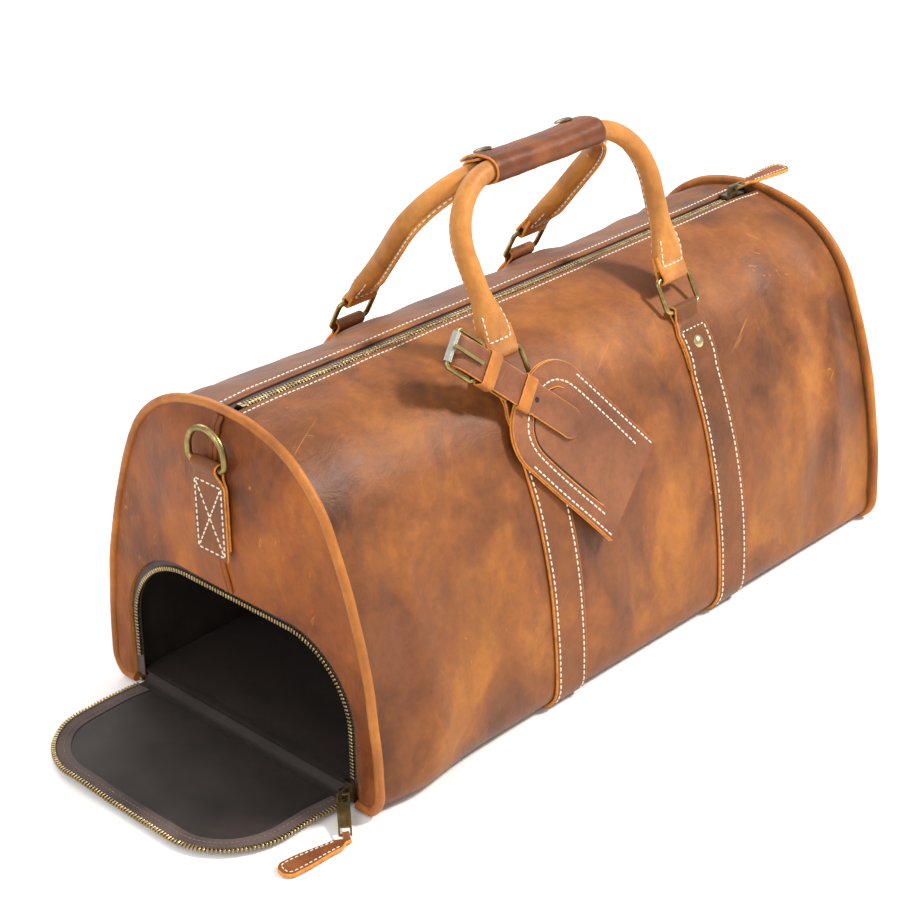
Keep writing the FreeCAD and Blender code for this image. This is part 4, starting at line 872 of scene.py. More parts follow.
# raised seam down the middle of the end
zz = np.linspace(117.5, 243.0, 60)
sx_ = -270.0 - dome(0 * zz, zz) * np.interp(zz, [117, 238, 244], [1, 1, 0.0]) - 0.6
P = np.stack([sx_ + 0.2 * vnoise(zz / 9.0, 1.0, 0, 77), 0.3 * vnoise(zz / 15.0, 2.0, 0, 78), zz], 1)
T, N_, _ = frames_from(P, np.tile([0, 1.0, 0], (60, 1)))
N_ = N_ * np.sign(N_ @ np.array([-1.0, 0, 0]))[:, None]
sb = Bag()
for q in (-1.9, 1.9):
    v, f_, mi = ribbon(P + np.array([0, q, 0]), N_, np.tile([0, 1.0, 0], (60, 1)), 1.75, 1.6, m=4, belly=0.35)
    sb.add(v, f_, 0)
sb.done("shoe_end_seam", [M_END], body="bag", slot="bag_leather")

tb = Bag()
u_in, _ = arch_loop(0.3, 260, 6.0)
u_out, _ = arch_loop(10.4, 260, 6.0)
r_ = np.linspace(0, 1, 6)
YZ = u_in[:, None, :] * (1 - r_)[None, :, None] + u_out[:, None, :] * r_[None, :, None]
Po = np.concatenate([np.full(YZ.shape[:2] + (1,), -266.5), YZ], -1)
grid_solid(tb, Po, Po + np.array([0.8, 0, 0]), 0, 0, 0)
tb.done("shoe_tape_cloth", [M_TAPE], body="bag", slot="zip_tape", replaces=("shoe_tape_fixed",))


def arch_teeth(bag, o, z0, to_world, pitch=2.6, tan=1.5, rad_=3.3, thick=2.6, shift=0.0):
    P, N = arch_loop(o, 4000, z0)
    d = np.linalg.norm(np.diff(P, axis=0), axis=1)
    L = np.concatenate([[0], np.cumsum(d)])
    for t in np.arange(0.8 + shift, L[-1] - 0.8, pitch):
        k = int(np.searchsorted(L, t))
        n = N[min(k, len(N) - 1)]
        c, a1, a2 = to_world(P[min(k, len(P) - 1)], n)
        bag.add(*rounded_box(c, tan, rad_, thick, 0.35, ax=a1, ay=a2))


tb = Bag()
arch_teeth(tb, 1.5, 21.0, lambda p, n: ((-268.1, p[0], p[1]), (0, -n[1], n[0]), (0, n[0], n[1])))
tb.done("shoe_teeth_row", [M_TEETH], body="bag", slot="zip_brass", replaces=("shoe_teeth_fixed",), sharp=30)

# lining of the compartment: a sagging sock of cloth
K = 200
lp, ln = arch_loop(7.4, 160, 9.4)
fl = np.stack([np.linspace(lp[-1, 0], lp[0, 0], 42)[1:-1], np.full(40, 9.4)], 1)
fln = np.tile([0, -1.0], (40, 1))
LP = np.concatenate([lp, fl])
LN = np.concatenate([ln, fln])
rings = []
xs = np.concatenate([np.linspace(-265.2, -250, 4)[:-1], np.linspace(-250, 38, 46)])
ii = np.arange(K)
cz = np.array([0.0, 60.0])
for sc in (0.02, 0.5, 1.0):
    rings.append(np.concatenate([np.full((K, 1), 39.4), cz + (LP + LN * 0.6 - cz) * sc], 1))
for x in xs[::-1]:
    rings.append(np.concatenate([np.full((K, 1), x), LP + LN * 0.6], 1))
for x in xs:
    dpt = 1.0 * (x > -264) * (-0.2 - 3.4 * (0.5 + 0.5 * vnoise(x / 26.0, ii / 13.0, 0.5, 51)) - 1.6 * np.abs(vnoise(x / 11.0, ii / 7.0, 2.5, 52))) * smooth(-265, -235, x)
    rings.append(np.concatenate([np.full((K, 1), x), LP + LN * (-0.6 + dpt)[:, None]], 1))
for sc in (0.97, 0.5, 0.02):
    rings.append(np.concatenate([np.full((K, 1), 38.2), cz + (LP - LN * 3 - cz) * sc], 1))
V_ = np.concatenate(rings)
F = ring_faces(K, len(rings), False)
F.append(tuple(range(K - 1, -1, -1)))
F.append(tuple(range((len(rings) - 1) * K, len(rings) * K)))
lb = Bag()
lb.add(V_, F)
lb.done("shoe_compartment_cloth", [M_LINING], body="bag", slot="lining_fabric", replaces=("shoe_compartment_lining",), sharp=60)

# flap lying open on the ground
FB = ("bag", "shoe_flap", (-0.2680, 0, 0.0015), (-0.2780, 0, 0.0015))


def flap_z(X, Y):
    d = -268.5 - X
    return smooth(4, 30, d) * np.maximum(0.0, 1.2 + 1.3 * vnoise(X / 45, Y / 50, 0.2, 61) + 0.6 * vnoise(X / 17, Y / 21, 0.9, 62))


def flap_sheet(name, o, d0, zc, th, mats, slot, node, rough=0.0):
    half, high, r = 104.0 + o, 108.0 + o, 55.0 + o
    zz = np.concatenate([np.linspace(d0, high - r, 22)[:-1], high - r + r * np.sin(np.linspace(0, math.pi / 2 * 0.985, 26))])
    W = np.where(zz < high - r, half, (half - r) + np.sqrt(np.maximum(r * r - (zz - high + r) ** 2, 1.0)))
    X = -268.5 - (zz - 1.5)
    P = np.stack([X, 0 * X, np.full(len(X), zc)], 1)
    B = np.tile([0, 1.0, 0], (len(X), 1))
    N = np.tile([0, 0, 1.0], (len(X), 1))
    b = Bag()
    V_, F, M = ribbon(P, N, B, W, th, m=40, rough=rough)
    V_[:, 2] += flap_z(V_[:, 0], V_[:, 1])
    b.add(V_, F, M)
    return b.done(name, mats, slot=slot, blend=FB, replaces=(node,))


flap_sheet("shoe_flap_leather_panel", -8.0, -0.5, 1.0, 1.9, [M_END, M_EDGE], "bag_leather", "shoe_flap_leather")
flap_sheet("shoe_flap_lining_cloth", -12.2, 0.6, 2.65, 1.0, [M_LINING, M_LINING], "lining_fabric", "shoe_flap_lining")
ft_ = Bag()
u_in, _ = arch_loop(-12.8, 240, 6.0)
u_out, _ = arch_loop(-2.6, 240, 6.0)
r_ = np.linspace(0, 1, 7)
YZ = u_in[:, None, :] * (1 - r_)[None, :, None] + u_out[:, None, :] * r_[None, :, None]
X = -268.5 - (YZ[..., 1] - 1.5)
Z = 3.3 + flap_z(X, YZ[..., 0])
Po = np.stack([X, YZ[..., 0], Z + 0.0], -1)
grid_solid(ft_, Po + np.array([0, 0, 0.35]), Po - np.array([0, 0, 0.35]), 0, 0, 0)
ft_.done("shoe_flap_tape_cloth", [M_TAPE], slot="zip_tape", blend=FB, replaces=("shoe_flap_tape",))


tb = Bag()


def _fw(p, n):
    X = -268.5 - (p[1] - 1.5)
    z = 3.3 + float(flap_z(X, p[0]))
    out = np.array([-n[1], n[0], 0.0])
    tan = np.array([n[0], n[1], 0.0])
    return (X, p[0], z), tan, out


arch_teeth(tb, -1.6, 6.0, _fw, shift=1.3)
tb.done("shoe_flap_teeth_row", [M_TEETH], slot="zip_brass", blend=FB, replaces=("shoe_flap_teeth",), sharp=30)

rp = smooth_path([(-274.0, 3.5, 0), (-270.5, 3.7, 0), (-267.8, 4.9, 0), (-266.0, 7.2, 0), (-264.3, 9.6, 0), (-260.0, 10.1, 0), (-254.0, 10.0, 0)], 1.2)
P = np.stack([rp[:, 0], 0 * rp[:, 0], rp[:, 1]], 1)
T, N_, Bv = frames_from(P, np.tile([0, 1.0, 0], (len(P), 1)))
hb = Bag()
v, f_, mi = ribbon(P, N_, Bv, 102.0, 0.6, m=30, disp=lambda u, q: 0.35 * vnoise(q * 9.0, u * 2.0, 0.5, 66))
hb.add(v, f_, 0)
hb.done("shoe_flap_hinge_cloth", [M_LINING], slot="lining_fabric", blend=FB)

# stitches that hold tape and lining to the flap
fst = Bag()
q, _ = arch_loop(-8.6, 300, 8.0)
X = -268.5 - (q[:, 1] - 1.5)
P = np.stack([X, q[:, 0], 3.75 + flap_z(X, q[:, 0])], 1)
stitch_row(fst, P, np.tile([0, 0, 1.0], (300, 1)), pitch=3.5, length=2.6, rad=0.36, lift=0.1, dip=0.4)
M_THREAD_D = thread("dark_thread", (120, 96, 82))
fst.done("shoe_flap_stitches", [M_THREAD_D], slot="trim_leather", blend=FB)


# ------------------------------------------------------------ body straps
def strap_obj(sx, nm):
    def half(side):
        """(y, z, ny, nz, weight of the shell's own shape, s) from the inner end up, round the bar and down to mid-base."""
        out = []
        for s in np.arange(122, 87, -2.0):
            out.append((s, 0.9))
        pts = []
        for s, off in out:
            a = np.interp(s, _S, _A); y = np.interp(s, _S, _Y); z = np.interp(s, _S, _Z)
            pts.append((side * (y + math.sin(a) * off), z + math.cos(a) * off, -side * math.sin(a), -math.cos(a), s, 1.4, -1.0))
        a0 = np.interp(81.1, _S, _A)
        by, bz, R = side * 78.2, 223.6, 3.35
        n0 = np.array([math.sin(a0), math.cos(a0)])
        t0 = np.array([math.cos(a0), -math.sin(a0)])
        for k in np.linspace(-0.5, 1.0, 17):
            # start under the bar (towards the bag), go over its upper side, come back on the outside
            ph = math.pi / 2 + (k) * math.pi
            ph = math.pi * (0.5 + (k + 0.5) / 1.5 * 1.0)
            c, s_ = math.cos(ph), math.sin(ph)
            d = -n0 * math.sin(ph) * 1.0 + t0 * math.cos(ph)
            pts.append((by + side * d[0] * R, bz + d[1] * R, side * d[0], d[1], 81.1, 1.6, 0.0))
        res = []
        for s in np.concatenate([np.arange(88, 134, 2.0), np.arange(134, S_BASE - 40, 4.0), np.arange(S_BASE - 40, S_BASE + 10, 2.0), np.arange(S_BASE + 10, S_MID - 1, 5.0)]):
            off = 1.35 + 1.5 * smooth(128, 116, s)
            a = np.interp(s, _S, _A); y = np.interp(s, _S, _Y); z = np.interp(s, _S, _Z)
            res.append((side * (y + math.sin(a) * off), z + math.cos(a) * off, side * math.sin(a), math.cos(a), s, 2.2, 1.0))
        return pts + res
    A_ = half(-1)
    C_ = half(1)[::-1]
    rows_ = A_ + [(0.0, -1.35 + 2.5, 0.0, -1.0, S_MID, 2.2, 1.0)] + C_
    R_ = np.array(rows_)
    P = np.stack([np.full(len(R_), sx), R_[:, 0], R_[:, 1]], 1)
    N = np.stack([np.zeros(len(R_)), R_[:, 2], R_[:, 3]], 1)
    s_arr, th, lay = R_[:, 4], R_[:, 5], R_[:, 6]
    W = 12.5 + 3.0 * smooth(88, 98, s_arr)
    W = np.where(lay == 0, 12.5, W)
    B = np.tile([1.0, 0, 0], (len(R_), 1))
    sides = np.where(P[:, 1] < 0, -1, 1)
    wt = np.where(lay == 0, 0, smooth(88, 104, s_arr))
    fixed = np.where(lay == 0, 0.0, 1.0)
    b = Bag()
    V_, F, M = ribbon(P, N, B, W, th, m=10)
    Kp = len(V_) // len(P)
    for i in range(len(P)):
        blk = V_[i * Kp:(i + 1) * Kp]
        if fixed[i] and s_arr[i] < S_CORNER + 30:
            fx = shell_f(blk[:, 0], np.full(Kp, s_arr[i]), int(sides[i])) * wt[i]
            out = N[i] * (1 if lay[i] > 0 else -1)
            blk += fx[:, None] * out[None, :]
        elif fixed[i]:
            pass
    V_[:, 2] = np.where((V_[:, 2] < 3.0), np.clip(V_[:, 2], 0.1, None), V_[:, 2])
    # flat run under the base
    b.add(V_, F, M)
    b.done("body_strap_%s_leather" % nm, [M_STRAP, M_EDGE], body="bag", slot="trim_leather", replaces=("body_strap_" + nm,))
    for side in (-1, 1):
        for q in (-12.2, 12.2):
            ss = np.arange(96, S_BASE - 17, 1.5)
            p, n = surf(np.full(len(ss), sx + q), ss, side, 0.0)
            off = 2.5 + 1.5 * smooth(128, 116, ss)
            stitch_row(THREAD_BAG, p + n * off[:, None], n, pitch=4.6, length=3.7, rad=0.62)
        for s_line in (95.8,):
            xs_ = np.linspace(sx - 12.2, sx + 12.2, 30)
            p, n = surf(xs_, np.full(30, s_line), side, 4.0)
            stitch_row(THREAD_BAG, p, n, pitch=4.0, length=3.0, rad=0.62)


strap_obj(-88.0, "shoe_end")
strap_obj(88.0, "plain_end")
rv = Bag()
for sx in (-88.0, 88.0):
    for side in (-1, 1):
        p, n = surf(np.array([sx]), np.array([105.8]), side, 3.7)
        prof = [(4.3, -0.6), (4.7, 0.0), (4.7, 0.5), (4.4, 0.9), (3.6, 1.6), (2.4, 2.15), (1.2, 2.4), (0.3, 2.48)]
        V_, F = lathe(prof, p[0], n[0], 32)
        rv.add(V_, F)
rv.done("strap_rivet_heads", [M_BRASS_L], body="bag", slot="antique_brass", replaces=("strap_rivets",), sharp=25)


# ---------------------------------------------------------------- handles
def handle_frame(ys, ay, az):
    p0 = np.array([0, ys * 66.933, 244.791])
    up = np.array([0, ay, az]) - p0
    top = float(np.linalg.norm(up))
    up = up / top
    r, th = 44.0, 50.0
    lo, hi = math.radians(88), math.radians(100)
    for _ in range(60):
        a = (lo + hi) / 2
        x1, h1 = th + r * math.sin(a), top - r * (1 - math.cos(a))
        if x1 + h1 * math.cos(a) / math.sin(a) > 88.0:
            lo = a
        else:
            hi = a
    pts = []
    for k in np.linspace(0, 1, 40, endpoint=False):
        h = 5.0 + (h1 - 5.0) * k
        pts.append((x1 + (h1 - h) * math.cos(a) / math.sin(a), h))
    for t in np.linspace(a, 0, 40, endpoint=False):
        pts.append((th + r * math.sin(t), top - r * (1 - math.cos(t))))
    for x in np.linspace(th, 0, 26):
        pts.append((x, top))
    pts = np.array(pts)
    left = pts[:-1][::-1].copy()
    left[:, 0] *= -1
    pts = np.concatenate([pts, left])
    return p0, up, np.array([0, -up[2], up[1]]), pts


def handle_obj(tag, ys, ay, az, fin_sign, body, seed):
    p0, up, nrm, pts = handle_frame(ys, ay, az)
    T2 = unit(np.gradient(pts, axis=0))
    Nn = np.stack([-T2[:, 1], T2[:, 0]], 1)
    n = len(pts)
    ang = np.linspace(0, 2 * math.pi, 28, endpoint=False)
    V_ = []
    leg = np.minimum(np.arange(n), np.arange(n)[::-1])
    for i in range(n):
        h = pts[i, 1]
        fl_ = 1 - smooth(14, 46, h)
        ft__ = 1 - smooth(6, 27, h)
        a_, b_, e = 7.0 + 6.3 * fl_, 7.0 - 3.6 * ft__, 2.0 + 1.9 * ft__
        c, s = np.cos(ang), np.sin(ang)
        cu = np.sign(c) * np.abs(c) ** (2 / e) * a_
        cn = np.sign(s) * np.abs(s) ** (2 / e) * b_
        wob = 0.25 * vnoise(i / 6.0, ang * 1.5, 0.4, seed) * (1 - fl_)
        x2 = pts[i, 0] + Nn[i, 0] * (cu + wob)
        h2 = pts[i, 1] + Nn[i, 1] * (cu + wob)
        V_.append(p0 + np.outer(x2, [1, 0, 0]) + np.outer(h2, up) + np.outer(cn, nrm))
    F = ring_faces(28, n, False)
    F.append(tuple(range(27, -1, -1)))
    F.append(tuple(range((n - 1) * 28, n * 28)))
    b = Bag()
    V_ = np.concatenate(V_)
    b.add(V_, F, 0)

    def W3(x, h, k):
        x, h, k = np.broadcast_arrays(np.asarray(x, float), np.asarray(h, float), np.asarray(k, float))
        return p0 + x[..., None] * np.array([1.0, 0, 0]) + h[..., None] * up + k[..., None] * nrm
    th_b = Bag()
    for s_ in (-1, 1):
        sel = [i for i in range(n) if pts[i, 0] * s_ > 0 and (abs(pts[i, 0]) > 57 and pts[i, 1] > 17)]
        sel = np.array(sel)
        Q, TT_ = pts[sel], Nn[sel]
        k0 = fin_sign * (8.3 - 3.2 * (1 - smooth(16, 34, Q[:, 1])))
        P = W3(Q[:, 0], Q[:, 1], k0)
        side_v = np.tile(nrm, (len(sel), 1))
        nor = np.outer(TT_[:, 0], [1, 0, 0]) + np.outer(TT_[:, 1], up)
        v, f, m_ = ribbon(P, nor, side_v, 2.4, 2.6, m=4)
        b.add(v, f, m_)
        for e in (-1, 1):
            stitch_row(th_b, P + nor * 1.35 * e + nrm * fin_sign * 0.2, nor * e, pitch=4.4, length=3.2, rad=0.56, lift=0.1, dip=0.5)
        # loop round the ring bar, closed between the two faces of the tab
        ph = np.linspace(-0.12 * math.pi, 1.12 * math.pi, 19)
        R = 3.25
        hh = np.concatenate([[16, 10, 5], -np.sin(ph) * R, [5, 10, 16]])
        kk = np.concatenate([[1.6, 1.9, 2.6], np.cos(ph) * R, [-2.6, -1.9, -1.6]])
        P = W3(np.full(len(hh), s_ * 88.0), hh, kk)
        Bv = np.tile([1.0, 0, 0], (len(hh), 1))
        T, N_, _ = frames_from(P, Bv)
        Wd = 12.2 + 1.0 * smooth(0, 6, hh)
        v, f, m_ = ribbon(P, N_, Bv, Wd, 2.3, m=6)
        b.add(v, f, m_)
        # U of stitches on both faces of the tab
        for e in (-1, 1):
            us = [(-9.9, 27), (-10.2, 20), (-10.2, 13), (-9.9, 9.2), (-8.4, 8.5), (0, 8.4), (8.4, 8.5), (9.9, 9.2), (10.2, 13), (10.2, 20), (9.9, 29)]
            path = smooth_path([((u if s_ > 0 else u), h, 0) for u, h in us], 0.8)
            slope = (np.interp(14, pts[:40, 1], pts[:40, 0]) - np.interp(40, pts[:40, 1], pts[:40, 0])) / 26.0
            xc = np.interp(path[:, 1], pts[:40, 1], pts[:40, 0])
            nar = 1 - 0.30 * smooth(14, 46, path[:, 1])
            fl_ = 1 - smooth(14, 46, path[:, 1])
            ft__ = 1 - smooth(6, 27, path[:, 1])
            bb = 7.0 - 3.6 * ft__
            aa = 7.0 + 6.3 * fl_
            ee = 2.0 + 1.9 * ft__
            uu = path[:, 0] * nar
            kf = bb * (1 - np.clip(np.abs(uu) / aa, 0, 0.98) ** ee) ** (1 / ee)
            P = W3(s_ * xc + uu, path[:, 1], e * (kf + 0.05))
            stitch_row(th_b, P, np.tile(nrm * e, (len(P), 1)), pitch=4.2, length=3.4, rad=0.56, lift=0.15, dip=0.5)
    b.done("handle_%s_leather" % tag, [M_HANDLE, M_EDGE], body=body, slot="handle_leather", replaces=("handle_" + tag,))
    th_b.done("handle_%s_stitches" % tag, [M_THREAD], body=body, slot="trim_leather")


handle_obj("front", -1, -24.0, 350.0, -1, "front_handle", 101)
handle_obj("rear", 1, -9.0, 344.0, 1, "rear_handle", 102)

# -------------------------------------------------------------- grip wrap
FC = np.array([0, -24.0, 350.0])
GT = np.array([0, 15.0, -6.0])
GAP = float(np.linalg.norm(GT))
GT = GT / GAP
GN = np.cross([1.0, 0, 0], GT)


def G(x, t, n):
    x, t, n = np.broadcast_arrays(np.asarray(x, float), np.asarray(t, float), np.asarray(n, float))
    return FC + x[..., None] * np.array([1.0, 0, 0]) + t[..., None] * GT + n[..., None] * GN


def wrap_sheet(name, prof, body=None, blend=None, node=None, slot="handle_leather", seed=7, crown=0.0):
    prof = smooth_path([(t, n, 0) for t, n in prof], 1.1)
    P = G(0, prof[:, 0], prof[:, 1])
    Bv = np.tile([1.0, 0, 0], (len(P), 1))
    T, N_, _ = frames_from(P, Bv)
    N_ = -N_
    m_ = 44
    L = np.linspace(0, 1, len(P))

    def disp(u, q):
        return 0.35 * vnoise(q * 3.2, u * 4.0, 0.3, seed) + 0.12 * vnoise(q * 11, u * 14, 0.9, seed + 1) + crown * (1 - np.abs(q) ** 2.2) * smooth(0.25, 0.55, u)
    b = Bag()
    v, f, mi = ribbon(P, N_, Bv, 54.0, 1.9, m=m_, disp=disp)
    b.add(v, f, mi)
    return b.done(name, [M_GRIP, M_EDGE], body=body, blend=blend, slot=slot, replaces=(node,)), P, N_


arcR = [(GAP + 8.4 * math.sin(a), 8.4 * math.cos(a)) for a in np.linspace(0, math.pi, 11)]
wrap_sheet("grip_wrap_leather", [(5.0, 8.35), (10.5, 8.35)] + arcR + [(10, -8.4), (3.0, -8.4)], body="rear_handle", node="grip_wrap", seed=111)
arcF = [(-8.6 * math.sin(a), -8.6 * math.cos(a)) for a in np.linspace(0.15, math.pi - 0.25, 11)]
s0b, s1b = G(0, -8, 4), G(0, -3, 9)
_, PB, NB = wrap_sheet("grip_flap_leather", [(2.6, -8.5)] + arcF + [(2.6, 10.1), (8.0, 11.2), (14.0, 11.5), (19.0, 11.0), (23.5, 9.7)],
                       blend=("rear_handle", "grip_flap", tuple(s0b * MM), tuple(s1b * MM)), node="grip_flap", seed=121, crown=1.7)
SNT = GAP * 0.62 + 4.5
sc_ = Bag()
for sx in (-40.0, 40.0):
    prof = [(6.1, -0.4), (6.6, 0.0), (6.6, 0.5), (6.2, 0.95), (5.2, 1.45), (3.6, 1.85), (1.8, 2.05), (0.3, 2.1)]
    V_, F = lathe(prof, G(sx, SNT, 12.35), GN, 36)
    sc_.add(V_, F)
sc_.done("grip_snap_cap_domes", [M_DARKMETAL], body="grip_flap", slot="antique_brass", replaces=("grip_snap_caps",), sharp=25)


# ---------------------------------------------------------- D-ring tabs
for sign, nm in ((-1, "shoe_end"), (1, "plain_end")):
    rr = 3.5
    ph = np.linspace(0, math.pi, 15)
    xz = [(283.15, z) for z in (148.5, 155, 165, 175, 185, 195, 203)] + [(284.6, 207.2)]
    xz += [(283.6 + rr * math.cos(a), 213 + rr * math.sin(a)) for a in np.linspace(-0.25, math.pi, 16)]
    xz += [(280.6, 208.0), (281.15, 203)] + [(281.25, z) for z in (195, 185, 175, 165, 156)]
    path = smooth_path([(x, z, 0) for x, z in xz], 1.6)
    P = np.stack([sign * path[:, 0], 0 * path[:, 0], path[:, 1]], 1)
    Bv = np.tile([0, 1.0, 0], (len(P), 1))
    T, N_, _ = frames_from(P, Bv)
    z = P[:, 2]
    W = 15.4 - 3.6 * smooth(199, 208, z)
    W = np.where(z < 152, W - 0.8 * smooth(152, 148.5, z), W)
    b = Bag()
    v, f, mi = ribbon(P, N_, Bv, W, 1.75, m=8)
    b.add(v, f, mi)
    b.done("d_ring_tab_%s_leather" % nm, [M_STRAP, M_EDGE], body="bag", slot="trim_leather", replaces=("d_ring_tab_" + nm,))
    xf = sign * 284.1
    nv_ = np.array([sign * 1.0, 0, 0])
    paths = [[(-12.4, 151.5), (12.4, 151.5)], [(-12.4, 200.5), (12.4, 200.5)], [(-12.4, 151.5), (-12.4, 200.5)], [(12.4, 151.5), (12.4, 200.5)],
             [(-11.6, 153), (11.6, 199)], [(11.6, 153), (-11.6, 199)]]
    for (y0, z0), (y1, z1) in paths:
        P = np.stack([np.full(30, xf), np.linspace(y0, y1, 30), np.linspace(z0, z1, 30)], 1)
        stitch_row(THREAD_BAG, P, np.tile(nv_, (30, 1)), pitch=4.2, length=3.4, rad=0.62, lift=0.1, dip=0.5)

# ------------------------------------------------------------ leather pulls
def pull(name, origin, d, nrm, body, node, bend=0.0):
    """Two stitched layers: narrow where it passes through the link, wide and rounded at the free end."""
    origin, d, nrm = np.array(origin, float), unit(d), unit(nrm)
    sd = np.cross(nrm, d)
    L = np.concatenate([np.linspace(0, 46, 24)[:-1], np.linspace(46, 52, 12)])
    W = 2.3 + 3.1 * smooth(3.5, 10, L) + 2.6 * smooth(10, 40, L)
    W = np.where(L > 46, 8.0 - 4.6 * ((L - 46) / 6) ** 2.2, W)
    P = origin + np.outer(L, d) + np.outer(bend * np.sin(L / 52 * math.pi), nrm)
    N_ = np.tile(nrm, (len(L), 1))
    Bv = np.tile(sd, (len(L), 1))
    b = Bag()
    v, f, mi = ribbon(P, N_, Bv, W, 2.8, m=6, rough=0.12)
    b.add(v, f, mi)
    th_b = Bag()
    for e in (-1, 1):
        us = [(9.5, -3.2), (20, -4.0), (34, -5.0), (44, -5.3), (48.2, -4.2), (49.4, 0), (48.2, 4.2), (44, 5.3), (34, 5.0), (20, 4.0), (9.5, 3.2)]
        q = smooth_path([(a, c, 0) for a, c in us], 0.7)
        PP = origin + np.outer(q[:, 0], d) + np.outer(q[:, 1], sd) + np.outer(bend * np.sin(q[:, 0] / 52 * math.pi) + 1.45 * e, nrm)
        stitch_row(th_b, PP, np.tile(nrm * e, (len(PP), 1)), pitch=3.6, length=2.7, rad=0.42, lift=0.1, dip=0.45)
    b.done(name, [M_PULL, M_EDGE], body=body, slot="pull_leather", replaces=(node,))
    th_b.done(name + "_stitches", [M_THREAD], body=body, slot="trim_leather")


pull("main_pull_paddle", (256.6, 0, 250.2), (1, 0, 0), (0, 0, 1), "main_leather_pull", "main_leather_pull", bend=0.5)
a_ = math.atan2(7.0, -53.5)
dv = np.array([math.cos(a_), math.sin(a_), 0])
pull("shoe_pull_paddle", tuple(np.array([-299.5, -131.5, 1.95]) - dv * 2.6), tuple(dv), (0, 0, 1), "shoe_leather_pull", "shoe_leather_pull", bend=0.4)


lb = Bag()
lz = smooth_path([(0, 1.4, 0), (2.3, 1.7, 0), (4.2, 2.2, 0), (5.2, 3.8, 0), (4.3, 5.4, 0), (2.9, 5.2, 0), (1.2, 3.7, 0), (0, 2.7, 0)], 0.5)
hd = np.array([0.494, 0.869, 0.0])
P = np.array([-298.6, -131.5, 0]) + np.outer(lz[:, 0], hd) + np.outer(lz[:, 1], [0, 0, 1.0])
Bv = np.tile([0.869, -0.494, 0], (len(P), 1))
T, N_, _ = frames_from(P, Bv)
v, f_, mi = ribbon(P, N_, Bv, 2.3, 0.95, m=4)
lb.add(v, f_, mi)
lb.done("shoe_pull_loop", [M_PULL, M_EDGE], body="shoe_leather_pull", slot="pull_leather")


# ------------------------------------------------------------- luggage tag
def TR(x, Y, s):
    x, Y, s = np.broadcast_arrays(np.asarray(x, float), np.asarray(Y, float), np.asarray(s, float))
    return np.stack([x, 0.34202 * Y - 0.93969 * s, 0.93969 * Y + 0.34202 * s], -1)


def SR(p, q, s):
    p, q, s = np.broadcast_arrays(np.asarray(p, float), np.asarray(q, float), np.asarray(s, float))
    return TR(-105.0 + 0.71934 * p + 0.69466 * q, 192.0 - 0.69466 * p + 0.71934 * q, s)


TN = np.array([0, -0.93969, 0.34202])
M0 = (-17.4, 84.6)
AX = (math.sin(math.radians(37.5)), -math.cos(math.radians(37.5)))
CX = (math.cos(math.radians(37.5)), math.sin(math.radians(37.5)))


def TG(a, c, s):
    a, c, s = np.broadcast_arrays(np.asarray(a, float), np.asarray(c, float), np.asarray(s, float))
    return TR(M0[0] + AX[0] * a + CX[0] * c, M0[1] + AX[1] * a + CX[1] * c, s)


A_DIR = unit(TG(1, 0, 0) - TG(0, 0, 0))
C_DIR = unit(TG(0, 1, 0) - TG(0, 0, 0))


def tag_curl(a, c):
    return 0.9 * smooth(-60, 0, a) * (c / 40.0) ** 2 + 0.35 * vnoise(a / 30, c / 30, 0.4, 131)


def plate(name, s_mid, th, inset, node, seed, top=False):
    l, w, r = 122.0 - inset, 40.0 - inset, 32.0 - inset
    a = np.concatenate([-l + r - r * np.cos(np.linspace(0.06, math.pi / 2, 22)), np.linspace(-l + r, 0 - inset, 34)[1:]])
    W = np.where(a > -l + r, w, (w - r) + np.sqrt(np.maximum(r * r - (a + l - r) ** 2, 0)))
    P = TG(a, 0, s_mid)
    b = Bag()
    v, f, mi = ribbon(P, np.tile(TN, (len(a), 1)), np.tile(C_DIR, (len(a), 1)), W, th, m=26)
    o = TG(0, 0, 0)
    av, cv = (v - o) @ A_DIR, (v - o) @ C_DIR
    v = v + np.outer(tag_curl(av, cv), TN)
    b.add(v, f, mi)
    return b


plate("tag_back_leather", 159.15, 1.75, 0.0, "tag_back", 1).done("tag_back_leather", [M_TAG, M_EDGE], body="luggage_tag", slot="tag_leather", replaces=("tag_back",))
front = plate("tag_front_leather", 161.1, 1.75, 0.3, "tag_front", 2)
# the slot through which the card goes, a long cut near the left edge with its two raw lips: these values are not used,
# the slot is drawn further down
SLOT_S = 162.02
slot_pts = [(-92, -24.5), (-60, -25.5), (-30, -25.5), (-14, -25.5)]
front.done("tag_front_leather", [M_TAG, M_EDGE], body="luggage_tag", slot="tag_leather", replaces=("tag_front",))


def tag_line(pts, s, step=0.8):
    q = smooth_path([(a, c, 0) for a, c in pts], step)
    return TG(q[:, 0], q[:, 1], s) + np.outer(tag_curl(q[:, 0], q[:, 1]), TN), q


tg = Bag()
P, q = tag_line([(-88, -36.6), (-60, -36.9), (-30, -36.9), (-2.5, -36.9)], 162.05)
stitch_row(tg, P, np.tile(TN, (len(P), 1)), pitch=4.4, length=3.6, rad=0.62)
P, q = tag_line([(-88, 36.6), (-60, 36.9), (-30, 36.9), (-2.5, 36.9)], 162.05)
stitch_row(tg, P, np.tile(TN, (len(P), 1)), pitch=4.4, length=3.6, rad=0.62)
P, q = tag_line([(-15, -28.2), (-40, -28.6), (-70, -28.6), (-90, -27.4), (-102, -22.0), (-108.5, -12.5), (-110.5, 0), (-108.5, 12.5), (-102, 22.0), (-90, 27.4), (-70, 28.6), (-40, 28.6), (-15, 28.2)], 162.05)
stitch_row(tg, P, np.tile(TN, (len(P), 1)), pitch=4.4, length=3.6, rad=0.62)
tg.done("tag_stitches", [M_THREAD], body="luggage_tag", slot="trim_leather")
# painted shade: a flat dark strip in the slot_shadow colour stands for the shade inside the card slot, with a raw-edge
# lip beside it
M_SLOT_SHADOW, nt, bs, _, _ = nodes_of("slot_shadow")
bs.inputs["Base Color"].default_value = lin((36, 22, 14))
bs.inputs["Roughness"].default_value = 0.9
sl_ = Bag()
